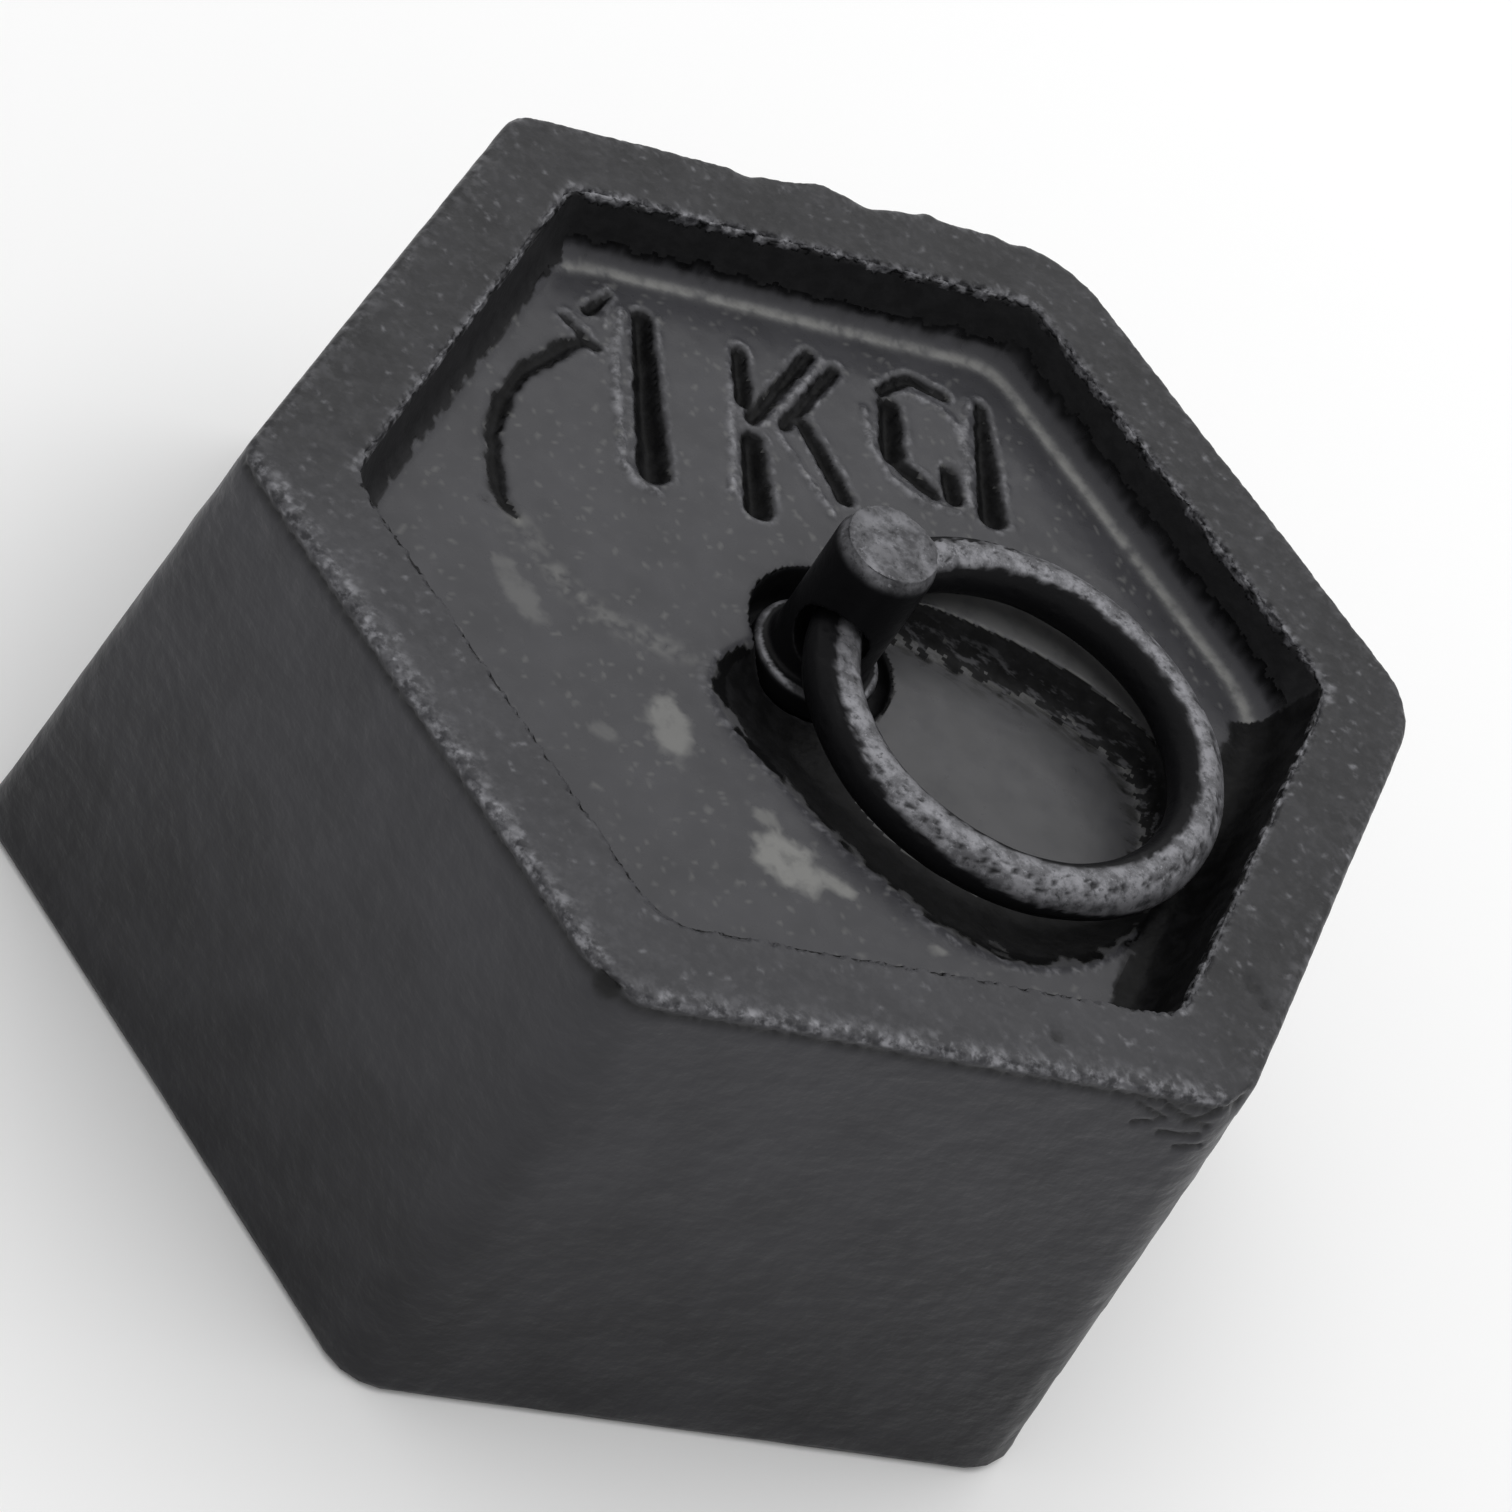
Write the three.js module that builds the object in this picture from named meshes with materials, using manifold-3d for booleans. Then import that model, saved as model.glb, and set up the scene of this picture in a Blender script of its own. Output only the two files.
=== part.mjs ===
// A cast-iron hexagonal weight with a lifting ring, in millimetres, +Z up.
// The origin is the centre of the base. Two corners of the hexagon lie on the Y axis, two flats face
// along X, and the ring lies towards +X.

import * as THREE from 'three';
import { mergeVertices, toCreasedNormals } from 'three/addons/utils/BufferGeometryUtils.js';
import Module from 'manifold-3d';

const wasm = await Module();
wasm.setup();

// Driving dimensions of the casting

const BODY_HEIGHT = 35.4;
const BASE_RADIUS = 42.1;          // to the sharp corners of the hexagon at the base
const TOP_RADIUS = 38.2;           // the same at the top, so the sides draw in
const CORNER_ROUND = 2.6;          // radius of the six upright corners
const TOP_EDGE_ROUND = 0.9;
const BASE_EDGE_ROUND = 0.8;

const RIM_WIDTH = 5.7;             // flat rim, measured square to a side
const RECESS_DEPTH = 4.8;
const WALL_DRAFT = 1.0;            // how far a recess wall leans in, from top to bottom
const WALL_FOOT_ROUND = 1.3;
const RIM_EDGE_ROUND = 0.6;
const RECESS_CORNER_ROUND = 2.2;

// Driving dimensions of the ring, the post with its eye, and the lead

const RING_BAR = 3.5;              // diameter of the round bar that the ring is bent from
const RING_WALL_GAP = 0.4;         // ring to the recess wall beside it, when it lies flat
const RING_SEAT_GAP = 0.3;         // ring to the floor that it lies on
const EYE_CLEARANCE = 0.5;         // round the bar in the eye
const EYE_CHEEK = 0.95;            // metal on either side of the eye
const EYE_WEAR = 0.45;             // how far the ring has opened the mouths of the eye
const EYE_WEAR_LENGTH = 1.1;       // how deep into each mouth that wear goes
const HEAD_ABOVE_RIM = 3.8;
const HEAD_ROUND = 0.8;

const COLLAR_STEP = 0.9;           // collar beyond the post, all round
const COLLAR_THICKNESS = 1.9;
const COLLAR_ROUND = 0.5;
const POCKET_CLEARANCE = 0.9;      // between the collar and the pocket in the casting where it sits
const POCKET_DEPTH = 3.4;          // below the recess floor
const WELL_DEPTH = 2.2;            // fingertip well under the ring, below the recess floor
const WELL_MARGIN = 1.15;          // radius of the well's mouth beyond that of the ring's centre line
const WELL_SHIFT_X = -1.05;        // centre of the well from the centre of the ring
const WELL_SHIFT_Y = -2.5;
const WELL_WALL_LEAN = 0.8;        // how far its steep side leans in, from top to bottom
const WELL_SLOPE_TURN = 262;       // degrees, the way its long slope faces from its centre
const WELL_SLOPE_FOOT = 8.8;       // foot of that slope, from its centre
const WELL_SLOPE_SHARPNESS = 8;    // how tightly the slope's ends turn into the steep side
const WELL_FOOT_ROUND = 0.9;

const RING_MARK_DEPTH = 0.35;      // groove that the ring has beaten where it lies when thrown over
const RING_MARK_TURN = 163.5;      // degrees, from the way the ring lies to the way the mark lies
const RING_MARK_START = 139;       // degrees about the mark's own centre, where the groove begins
const RING_MARK_END = 296;         // and where it ends

const SHANK_RADIUS = 3.0;
const SHANK_FIT = 0.3;             // between the shank and its hole, and round the lead
const RIVET_STEP = 2.0;            // riveted end beyond the shank, all round
const RIVET_HEIGHT = 2.6;
const RIVET_ROUND = 1.4;
const CAVITY_MOUTH_RADIUS = 13.5;  // adjusting cavity, open at the base and wider inside
const CAVITY_INNER_RADIUS = 14.5;
const CAVITY_DEPTH = 12.6;
const PLUG_THICKNESS = 3.0;
const PLUG_SET_BACK = 0.8;         // plug above the base, so that the weight stands on iron

// Fineness of the round stretches

const CORNER_STEPS = 4;
const EDGE_STEPS = 4;
const WELL_SIDES = 64;
const POST_SIDES = 40;
const CAVITY_SIDES = 48;
const RING_SIDES = 16;
const RING_STEPS = 72;
const CREASE_ANGLE = Math.PI / 7.5;  // faces that meet more sharply than this are shaded apart
const OVERCUT = 0.4;               // how far a cut runs past the face that it opens

// Places that follow from the driving dimensions

const COS_30 = Math.cos(Math.PI / 6);
const FLOOR_Z = BODY_HEIGHT - RECESS_DEPTH;
const TOP_HALF_WIDTH = TOP_RADIUS * COS_30;
const MOUTH_HALF_WIDTH = TOP_HALF_WIDTH - RIM_WIDTH;
const FOOT_HALF_WIDTH = MOUTH_HALF_WIDTH - RIM_EDGE_ROUND - WALL_DRAFT;

const EYE_RADIUS = RING_BAR / 2 + EYE_CLEARANCE;
const POST_RADIUS = EYE_RADIUS + EYE_CHEEK;
const EYE_Z = FLOOR_Z + RING_SEAT_GAP + RING_BAR / 2;
const RING_HEIGHT_ON_WALL = (EYE_Z - FLOOR_Z - WALL_FOOT_ROUND)
  / (RECESS_DEPTH - WALL_FOOT_ROUND - RIM_EDGE_ROUND);
const RING_WALL_HALF_WIDTH = FOOT_HALF_WIDTH + WALL_DRAFT * Math.max(0, RING_HEIGHT_ON_WALL);
const RING_RADIUS = (RING_WALL_HALF_WIDTH - RING_WALL_GAP - RING_BAR / 2) / 2;
const WELL_RADIUS = RING_RADIUS + WELL_MARGIN;
const WELL_Z = FLOOR_Z - WELL_DEPTH;
const POCKET_Z = FLOOR_Z - POCKET_DEPTH;
const COLLAR_RADIUS = POST_RADIUS + COLLAR_STEP;
const POCKET_RADIUS = COLLAR_RADIUS + POCKET_CLEARANCE;
const COLLAR_TOP_Z = POCKET_Z + COLLAR_THICKNESS;
const HEAD_TOP_Z = BODY_HEIGHT + HEAD_ABOVE_RIM;
const RIVET_RADIUS = SHANK_RADIUS + RIVET_STEP;
const RIVET_Z = CAVITY_DEPTH - RIVET_HEIGHT;
const PLUG_TOP_Z = PLUG_SET_BACK + PLUG_THICKNESS;

// Small tools

function quarter(steps) {
  return Array.from({ length: steps + 1 }, (_, i) => (i / steps) * Math.PI / 2);
}

// A hexagon with rounded corners, given by its half width across flats.
function hexagon(halfWidth, round, z) {
  const points = [];
  const reach = (halfWidth - round) / COS_30;
  for (let corner = 0; corner < 6; corner += 1) {
    const middle = Math.PI / 2 + corner * Math.PI / 3;
    const centre = new THREE.Vector2(Math.cos(middle), Math.sin(middle)).multiplyScalar(reach);
    for (let i = 0; i <= CORNER_STEPS; i += 1) {
      const angle = middle + (i / CORNER_STEPS - 0.5) * Math.PI / 3;
      points.push(new THREE.Vector3(
        centre.x + round * Math.cos(angle),
        centre.y + round * Math.sin(angle),
        z,
      ));
    }
  }
  return points;
}

// Joins outlines of equal point counts from the lowest up, and closes both ends.
function loft(sections) {
  const count = sections[0].length;
  const points = sections.flat();
  const index = [];
  for (let level = 0; level + 1 < sections.length; level += 1) {
    for (let i = 0; i < count; i += 1) {
      const a = level * count + i;
      const b = level * count + (i + 1) % count;
      index.push(a, b, b + count, a, b + count, a + count);
    }
  }
  const top = (sections.length - 1) * count;
  for (let i = 1; i + 1 < count; i += 1) {
    index.push(0, i + 1, i);
    index.push(top, top + i, top + i + 1);
  }
  const geometry = new THREE.BufferGeometry().setFromPoints(points);
  geometry.setIndex(index);
  return geometry;
}

// Turns a profile of [radius, height] pairs about the Z axis. The profile runs upwards on the outside.
function turned(profile, sides) {
  const outline = profile.map(([radius, height]) => new THREE.Vector2(radius, height));
  return new THREE.LatheGeometry(outline, sides).rotateX(Math.PI / 2);
}

function toSolid(geometry) {
  const bare = geometry.clone();
  bare.deleteAttribute('normal');
  bare.deleteAttribute('uv');
  const merged = mergeVertices(bare, 1e-4);
  return new wasm.Manifold(new wasm.Mesh({
    numProp: 3,
    vertProperties: Float32Array.from(merged.attributes.position.array),
    triVerts: Uint32Array.from(merged.index.array),
  }));
}

function toGeometry(solid) {
  const { vertProperties, triVerts } = solid.getMesh();
  const geometry = new THREE.BufferGeometry();
  geometry.setAttribute('position', new THREE.BufferAttribute(vertProperties, 3));
  geometry.setIndex(new THREE.BufferAttribute(triVerts, 1));
  return toCreasedNormals(geometry, CREASE_ANGLE);
}

function piece(name, geometry, color, roughness, metalness) {
  const mesh = new THREE.Mesh(geometry, new THREE.MeshStandardMaterial({ color, roughness, metalness }));
  mesh.name = name;
  return mesh;
}

// Outer shape of the casting

function castingOutside() {
  const halfWidthAt = (z) => COS_30 * THREE.MathUtils.lerp(BASE_RADIUS, TOP_RADIUS, z / BODY_HEIGHT);
  const sections = [];
  for (const angle of quarter(EDGE_STEPS)) {
    const z = BASE_EDGE_ROUND * (1 - Math.cos(angle));
    const inset = BASE_EDGE_ROUND * (1 - Math.sin(angle));
    sections.push(hexagon(halfWidthAt(z) - inset, CORNER_ROUND - inset, z));
  }
  for (const angle of quarter(EDGE_STEPS)) {
    const z = BODY_HEIGHT - TOP_EDGE_ROUND * (1 - Math.sin(angle));
    const inset = TOP_EDGE_ROUND * (1 - Math.cos(angle));
    sections.push(hexagon(halfWidthAt(z) - inset, CORNER_ROUND - inset, z));
  }
  return toSolid(loft(sections));
}

// Hexagonal recess in the top, with a rounded foot, leaning walls and a worn mouth

function recessCut() {
  const sections = [];
  const round = RECESS_CORNER_ROUND;
  for (const angle of quarter(EDGE_STEPS)) {
    const inset = WALL_FOOT_ROUND * (1 - Math.sin(angle));
    const z = FLOOR_Z + WALL_FOOT_ROUND * (1 - Math.cos(angle));
    sections.push(hexagon(FOOT_HALF_WIDTH - inset, round, z));
  }
  for (const angle of quarter(EDGE_STEPS)) {
    const flare = RIM_EDGE_ROUND * (1 - Math.cos(angle));
    const z = BODY_HEIGHT - RIM_EDGE_ROUND * (1 - Math.sin(angle));
    sections.push(hexagon(MOUTH_HALF_WIDTH - RIM_EDGE_ROUND + flare, round, z));
  }
  sections.push(hexagon(MOUTH_HALF_WIDTH, round, BODY_HEIGHT + OVERCUT));
  return toSolid(loft(sections));
}

// Well under the ring: round at its mouth, steep at the back, and with a long slope at the front on which
// a fingertip slides in under the ring. The foot of the slope cuts the round floor off like a D.

function wellFootReach(angle) {
  const steep = WELL_RADIUS - WELL_WALL_LEAN;
  const facing = Math.cos(angle - THREE.MathUtils.degToRad(WELL_SLOPE_TURN));
  const slope = facing > 0 ? WELL_SLOPE_FOOT / facing : Infinity;
  return (steep ** -WELL_SLOPE_SHARPNESS + slope ** -WELL_SLOPE_SHARPNESS) ** (-1 / WELL_SLOPE_SHARPNESS);
}

// Reach and height of the side from the floor up, at an angle about the well's centre.
function wellProfile(angle) {
  const foot = wellFootReach(angle);
  const steepness = Math.atan2(WELL_DEPTH, WELL_RADIUS - foot);
  const start = foot - WELL_FOOT_ROUND * Math.tan(steepness / 2);
  const profile = [];
  for (let i = 0; i <= EDGE_STEPS; i += 1) {
    const turn = (i / EDGE_STEPS) * steepness;
    profile.push([start + WELL_FOOT_ROUND * Math.sin(turn), WELL_Z + WELL_FOOT_ROUND * (1 - Math.cos(turn))]);
  }
  profile.push([WELL_RADIUS, FLOOR_Z], [WELL_RADIUS, FLOOR_Z + OVERCUT]);
  return profile;
}

function wellCut() {
  const sections = Array.from({ length: EDGE_STEPS + 3 }, () => []);
  for (let side = 0; side < WELL_SIDES; side += 1) {
    const angle = (side / WELL_SIDES) * Math.PI * 2;
    wellProfile(angle).forEach(([reach, z], level) => {
      sections[level].push(new THREE.Vector3(reach * Math.cos(angle), reach * Math.sin(angle), z));
    });
  }
  return toSolid(loft(sections)).translate([RING_RADIUS + WELL_SHIFT_X, WELL_SHIFT_Y, 0]);
}

// Pocket for the collar, hole for the shank and adjusting cavity in the base

function pocketCut() {
  return toSolid(turned([
    [0, POCKET_Z],
    [POCKET_RADIUS, POCKET_Z],
    [POCKET_RADIUS, FLOOR_Z + OVERCUT],
    [0, FLOOR_Z + OVERCUT],
  ], POST_SIDES));
}

function shankCut() {
  const radius = SHANK_RADIUS + SHANK_FIT;
  return toSolid(turned([
    [0, CAVITY_DEPTH - OVERCUT],
    [radius, CAVITY_DEPTH - OVERCUT],
    [radius, POCKET_Z + OVERCUT],
    [0, POCKET_Z + OVERCUT],
  ], POST_SIDES));
}

function cavityRadiusAt(z) {
  return THREE.MathUtils.lerp(CAVITY_MOUTH_RADIUS, CAVITY_INNER_RADIUS, z / CAVITY_DEPTH);
}

function cavityCut() {
  return toSolid(turned([
    [0, -OVERCUT],
    [cavityRadiusAt(-OVERCUT), -OVERCUT],
    [CAVITY_INNER_RADIUS, CAVITY_DEPTH],
    [0, CAVITY_DEPTH],
  ], CAVITY_SIDES));
}

// The mark is a length of the ring itself, laid over to the other side and sunk a little into the floor.
function ringMarkCut() {
  const spread = THREE.MathUtils.degToRad(RING_MARK_END - RING_MARK_START);
  const turn = THREE.MathUtils.degToRad(RING_MARK_TURN);
  const sunk = new THREE.TorusGeometry(RING_RADIUS, RING_BAR / 2, RING_SIDES, RING_STEPS, spread);
  const cap = (angle) => new THREE.SphereGeometry(RING_BAR / 2, RING_SIDES, RING_SIDES / 2)
    .translate(RING_RADIUS, 0, 0).rotateZ(angle);
  const arc = closedArc(sunk, RING_SIDES, RING_STEPS);
  return toSolid(arc).add(toSolid(cap(0))).add(toSolid(cap(spread)))
    .rotate([0, 0, RING_MARK_START])
    .translate([
      RING_RADIUS * Math.cos(turn),
      RING_RADIUS * Math.sin(turn),
      FLOOR_Z + RING_BAR / 2 - RING_MARK_DEPTH,
    ]);
}

// A torus geometry that stops short of a full turn is open at both ends, so its ends are closed.
function closedArc(geometry, sides, steps) {
  const index = Array.from(geometry.index.array);
  const row = steps + 1;
  for (let i = 1; i + 1 < sides; i += 1) {
    index.push(0, i * row, (i + 1) * row);
    index.push(steps, (i + 1) * row + steps, i * row + steps);
  }
  geometry.setIndex(index);
  return geometry;
}

function weightBody() {
  const casting = castingOutside()
    .subtract(recessCut())
    .subtract(wellCut())
    .subtract(pocketCut())
    .subtract(ringMarkCut())
    .subtract(shankCut())
    .subtract(cavityCut());
  return piece('weight_body', toGeometry(casting), 0x4b4b4e, 0.55, 0.35);
}

// Post with its collar, eye and riveted shank

function eyePost() {
  const profile = [[0, RIVET_Z]];
  for (const angle of quarter(EDGE_STEPS)) {
    profile.push([
      RIVET_RADIUS - RIVET_ROUND * (1 - Math.sin(angle)),
      RIVET_Z + RIVET_ROUND * (1 - Math.cos(angle)),
    ]);
  }
  profile.push([RIVET_RADIUS, CAVITY_DEPTH], [SHANK_RADIUS, CAVITY_DEPTH]);
  profile.push([SHANK_RADIUS, POCKET_Z], [COLLAR_RADIUS, POCKET_Z]);
  for (const angle of quarter(EDGE_STEPS)) {
    profile.push([
      COLLAR_RADIUS - COLLAR_ROUND * (1 - Math.cos(angle)),
      COLLAR_TOP_Z - COLLAR_ROUND * (1 - Math.sin(angle)),
    ]);
  }
  profile.push([POST_RADIUS, COLLAR_TOP_Z]);
  for (const angle of quarter(EDGE_STEPS)) {
    profile.push([
      POST_RADIUS - HEAD_ROUND * (1 - Math.cos(angle)),
      HEAD_TOP_Z - HEAD_ROUND * (1 - Math.sin(angle)),
    ]);
  }
  profile.push([0, HEAD_TOP_Z]);
  return toSolid(turned(profile, POST_SIDES));
}

// The eye runs along Y and opens a little towards both of its mouths, where the ring has worn it.
function eyeCut() {
  const wornRadius = EYE_RADIUS + EYE_WEAR;
  const plainHalf = POST_RADIUS - EYE_WEAR_LENGTH;
  const profile = [
    [0, -POST_RADIUS - OVERCUT],
    [wornRadius, -POST_RADIUS - OVERCUT],
    [wornRadius, -POST_RADIUS],
    [EYE_RADIUS, -plainHalf],
    [EYE_RADIUS, plainHalf],
    [wornRadius, POST_RADIUS],
    [wornRadius, POST_RADIUS + OVERCUT],
    [0, POST_RADIUS + OVERCUT],
  ];
  return toSolid(turned(profile, POST_SIDES).rotateX(Math.PI / 2)).translate([0, 0, EYE_Z]);
}

function eyeStud() {
  return piece('eye_stud', toGeometry(eyePost().subtract(eyeCut())), 0x47474a, 0.5, 0.6);
}

function liftingRing() {
  const ring = piece(
    'lifting_ring',
    new THREE.TorusGeometry(RING_RADIUS, RING_BAR / 2, RING_SIDES, RING_STEPS),
    0x5a5a5d, 0.45, 0.7,
  );
  ring.position.set(RING_RADIUS, 0, EYE_Z);
  return ring;
}

// Lead that brings the casting up to its mass, run in round the riveted end, and the plug that seals it

function adjustingLead() {
  const bottom = PLUG_TOP_Z + SHANK_FIT;
  const top = CAVITY_DEPTH - SHANK_FIT;
  const hollow = RIVET_RADIUS + SHANK_FIT;
  return piece('adjusting_lead', toGeometry(toSolid(turned([
    [0, bottom],
    [cavityRadiusAt(bottom) - SHANK_FIT, bottom],
    [cavityRadiusAt(top) - SHANK_FIT, top],
    [hollow, top],
    [hollow, RIVET_Z - SHANK_FIT],
    [0, RIVET_Z - SHANK_FIT],
  ], CAVITY_SIDES))), 0x6e7074, 0.6, 0.6);
}

function sealingPlug() {
  return piece('sealing_plug', toGeometry(toSolid(turned([
    [0, PLUG_SET_BACK],
    [cavityRadiusAt(PLUG_SET_BACK) - SHANK_FIT, PLUG_SET_BACK],
    [cavityRadiusAt(PLUG_TOP_Z) - SHANK_FIT, PLUG_TOP_Z],
    [0, PLUG_TOP_Z],
  ], CAVITY_SIDES))), 0x77797d, 0.55, 0.6);
}

const weight = new THREE.Group();
weight.add(weightBody(), eyeStud(), liftingRing(), adjustingLead(), sealingPlug());

export default weight;
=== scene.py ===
"""A one-kilogram hexagonal weight in painted cast iron, with a post and a lifting ring in its recess.

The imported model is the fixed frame. The casting, the post, the ring and the lead plug are modelled again
round it with their worn and uneven surfaces, and the lead inside keeps its own shape.
"""

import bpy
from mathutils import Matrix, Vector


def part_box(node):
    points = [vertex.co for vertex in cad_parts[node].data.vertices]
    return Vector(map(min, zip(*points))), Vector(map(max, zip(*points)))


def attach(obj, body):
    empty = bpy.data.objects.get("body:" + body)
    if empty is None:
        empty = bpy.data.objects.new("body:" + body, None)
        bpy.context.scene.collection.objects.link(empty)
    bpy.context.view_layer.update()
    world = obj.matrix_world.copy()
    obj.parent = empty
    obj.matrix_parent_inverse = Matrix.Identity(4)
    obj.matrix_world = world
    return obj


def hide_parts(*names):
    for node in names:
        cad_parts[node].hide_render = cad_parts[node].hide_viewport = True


bl_info = {
    "name": "Hexagonal weight",
    "version": (1, 0, 0),
    "blender": (4, 5, 0),
    "location": "View3D > Sidebar > Weight",
    "description": "Models a painted cast-iron hexagonal weight with its post, ring and lead plug",
    "category": "Mesh",
}

from functools import partial
from math import cos, radians, sin, tan

import bmesh
import bpy
import numpy as np
from bpy.props import FloatProperty, FloatVectorProperty, PointerProperty
from mathutils import Quaternion, Vector, noise

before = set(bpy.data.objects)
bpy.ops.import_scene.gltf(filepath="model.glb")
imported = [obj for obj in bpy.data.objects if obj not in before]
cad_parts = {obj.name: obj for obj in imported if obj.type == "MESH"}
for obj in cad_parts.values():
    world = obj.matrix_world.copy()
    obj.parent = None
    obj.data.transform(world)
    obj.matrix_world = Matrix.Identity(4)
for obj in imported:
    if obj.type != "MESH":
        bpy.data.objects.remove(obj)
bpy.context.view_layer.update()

MM = 0.001
COS_30 = cos(radians(30))

# Places that the frame gives
BODY_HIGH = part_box("weight_body")[1]
RING_LOW, RING_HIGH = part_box("lifting_ring")
POST_LOW, POST_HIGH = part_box("eye_stud")
PLUG_LOW, PLUG_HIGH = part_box("sealing_plug")
RING_BAR = RING_HIGH.z - RING_LOW.z
RING_RADIUS = (RING_HIGH.x - RING_LOW.x - RING_BAR) / 2
RING_CENTRE = (RING_LOW + RING_HIGH) / 2
TOP_Z = BODY_HIGH.z
FLOOR_Z = RING_LOW.z - 0.3 * MM
BASE_HALF = BODY_HIGH.x + 0.06 * MM

# Sizes of the casting that its box doesn't give
TOP_RADIUS = 38.2 * MM
RIM_WIDTH = 5.7 * MM
MOUTH_HALF = TOP_RADIUS * COS_30 - RIM_WIDTH
WALL_DRAFT = 1.0 * MM
FOOT_ROUND = 1.3 * MM
WELL_CENTRE = Vector((11.0, -2.0, 0)) * MM
WELL_DEPTH = 2.2 * MM
WELL_FOOT_ROUND = 0.7 * MM
POCKET_DEPTH = 3.4 * MM
POCKET_RADIUS = 5.0 * MM
SHANK_HOLE_RADIUS = 3.3 * MM
CAVITY_MOUTH_RADIUS = 13.5 * MM
CAVITY_INNER_RADIUS = 14.5 * MM
CAVITY_DEPTH = 12.6 * MM
OVERCUT = 1.0 * MM
MOST_TRIANGLES = 190000

# Radius in mm of each corner by its angle about Z: of the block, of the recess's mouth and of its floor
CORNERS = {-90: (4.2, 2.6, 5.0), -30: (3.8, 1.8, 3.0), 30: (5.5, 2.0, 8.5),
           90: (7.0, 1.8, 4.5), 150: (2.2, 1.6, 3.2), 210: (2.0, 2.0, 6.0)}

# Sides of the hexagon by the angle that they face
FRONT_SIDES, FAR_SIDES, RIGHT_SIDE = (240, 300), (60, 120), 0

# Edge of the well and edge of its floor, as distances in mm from its centre by angle in degrees.
# Towards the front the side slopes gently, and elsewhere it is steep.
WELL_EDGE = (
    (2, 13.3), (27, 13.5), (48, 13.8), (57, 12.9), (66, 12.3), (75, 11.8), (85, 11.2), (95, 10.9),
    (106, 10.8), (117, 11.0), (127, 11.6), (135, 11.5), (143, 11.9), (162, 12.4), (176, 13.0), (187, 14.4),
    (198, 17.0), (205, 17.3), (214, 16.2), (226, 14.4), (243, 13.2), (266, 12.9), (286, 14.2),
    (302, 14.9), (318, 14.9), (335, 14.2), (348, 13.5))
WELL_FLOOR = (
    (2, 12.3), (27, 12.4), (48, 12.5), (57, 11.4), (66, 10.8), (75, 10.2), (85, 9.6), (95, 9.3), (106, 9.2),
    (117, 9.4), (127, 10.1), (143, 10.9), (162, 11.7), (176, 12.2), (187, 12.7), (198, 12.6), (214, 10.6),
    (240, 8.6), (266, 8.2), (290, 8.7), (318, 10.4), (340, 11.6))

# Strokes of the mass mark on the recess floor in mm: start, end, and width at each
TRENCHES = (
    ((-19.7, 14.8), (-13.9, 3.8), 1.5, 2.3), ((-23.6, 11), (-21, 10.2), 0.6, 0.8),
    ((-22.2, 14.8), (-22.6, 12.7), 0.6, 1.1),
    ((-13.7, 17.3), (-11.8, 13.8), 1.1, 1.5), ((-10, 11), (-7.5, 6.2), 1.7, 2.1),
    ((-10, 20.8), (-10.8, 12.7), 1.1, 1.1), ((-8.2, 21), (-8.9, 13.8), 1, 0.9),
    ((-8, 15), (-3.4, 11.3), 1.2, 1.3),
    ((-4.1, 21.1), (-2.5, 17.6), 1.6, 1.9), ((-2.3, 17), (1, 16.4), 1.2, 1.3),
    ((1.2, 18.8), (2.2, 17.1), 1.3, 1.5), ((-5, 22), (-4.1, 24.3), 1, 1.1),
    ((-4, 24.4), (-1.5, 24.8), 1.1, 1), ((0.8, 25.9), (4.9, 17.6), 1, 2.1),
)
TRENCH_STEEPNESS = 1.35

# Burrs beside the strokes in mm: the points that each runs through, and its half width
BURRS = (
    (((-21, 14.3), (-19.3, 9.5), (-17, 5.2), (-15.7, 2.8), (-14.4, 1.9), (-13, 2.2)), 0.34),
    (((-22.6, 15.3), (-22, 13.8), (-21.2, 12.1)), 0.22),
    (((-13.4, 15.4), (-12, 11.9), (-10.7, 9.2), (-9.3, 5.9)), 0.30),
    (((-9.1, 21.2), (-9.5, 16), (-9.9, 12.9)), 0.24), (((-9.2, 13), (-6.7, 11.2), (-3.4, 9.2)), 0.24),
    (((-4.9, 22.2), (-3.2, 23.1), (-1.2, 23.5), (0.2, 22.9), (1, 21.6), (1.9, 19.9)), 0.26),
    (((0, 25.8), (0.7, 22.9), (2.1, 19.8), (3.2, 17.4)), 0.30),
    (((-5.4, 19.4), (-3.9, 16.8), (-1.8, 15.2), (0.8, 14.9), (2.9, 16)), 0.26),
)
BURR_HEIGHT = 0.26 * MM

# Mark that the ring has beaten where it lies when it is thrown over: a crack, and lower down a dusty band
RING_MARK_CENTRE = Vector((-11.1, 3.3, 0)) * MM
RING_MARK_RADIUS = 12.6 * MM
RING_MARK_ANGLES = (145, 232, 302)

# Dents from knocks: place and radius in mm, and depth in mm
DENTS = (
    ((-0.9, -37.6, 34.7), 0.9, 0.9), ((33, -18.4, 34.5), 0.7, 0.5), ((21.7, -22.6, 35.4), 0.5, 0.35),
    ((30.5, -10.5, 35.4), 0.55, 0.35), ((31.6, -11.3, 35.4), 0.4, 0.35),
    ((-18.2, -25.8, 22), 0.35, 0.3), ((-31, -8, 22), 0.3, 0.25),
    ((-21, -6.3, 30.6), 0.3, 0.3), ((-15.3, 29.4, 35), 1.5, -0.45), ((-12.2, 31.2, 35.2), 1, 0.35),
    ((-3.4, 36.3, 35), 0.8, 0.4), ((-19.6, 26.9, 35.2), 0.9, 0.3), ((-8.6, 33.2, 35), 0.7, -0.3),
)

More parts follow.
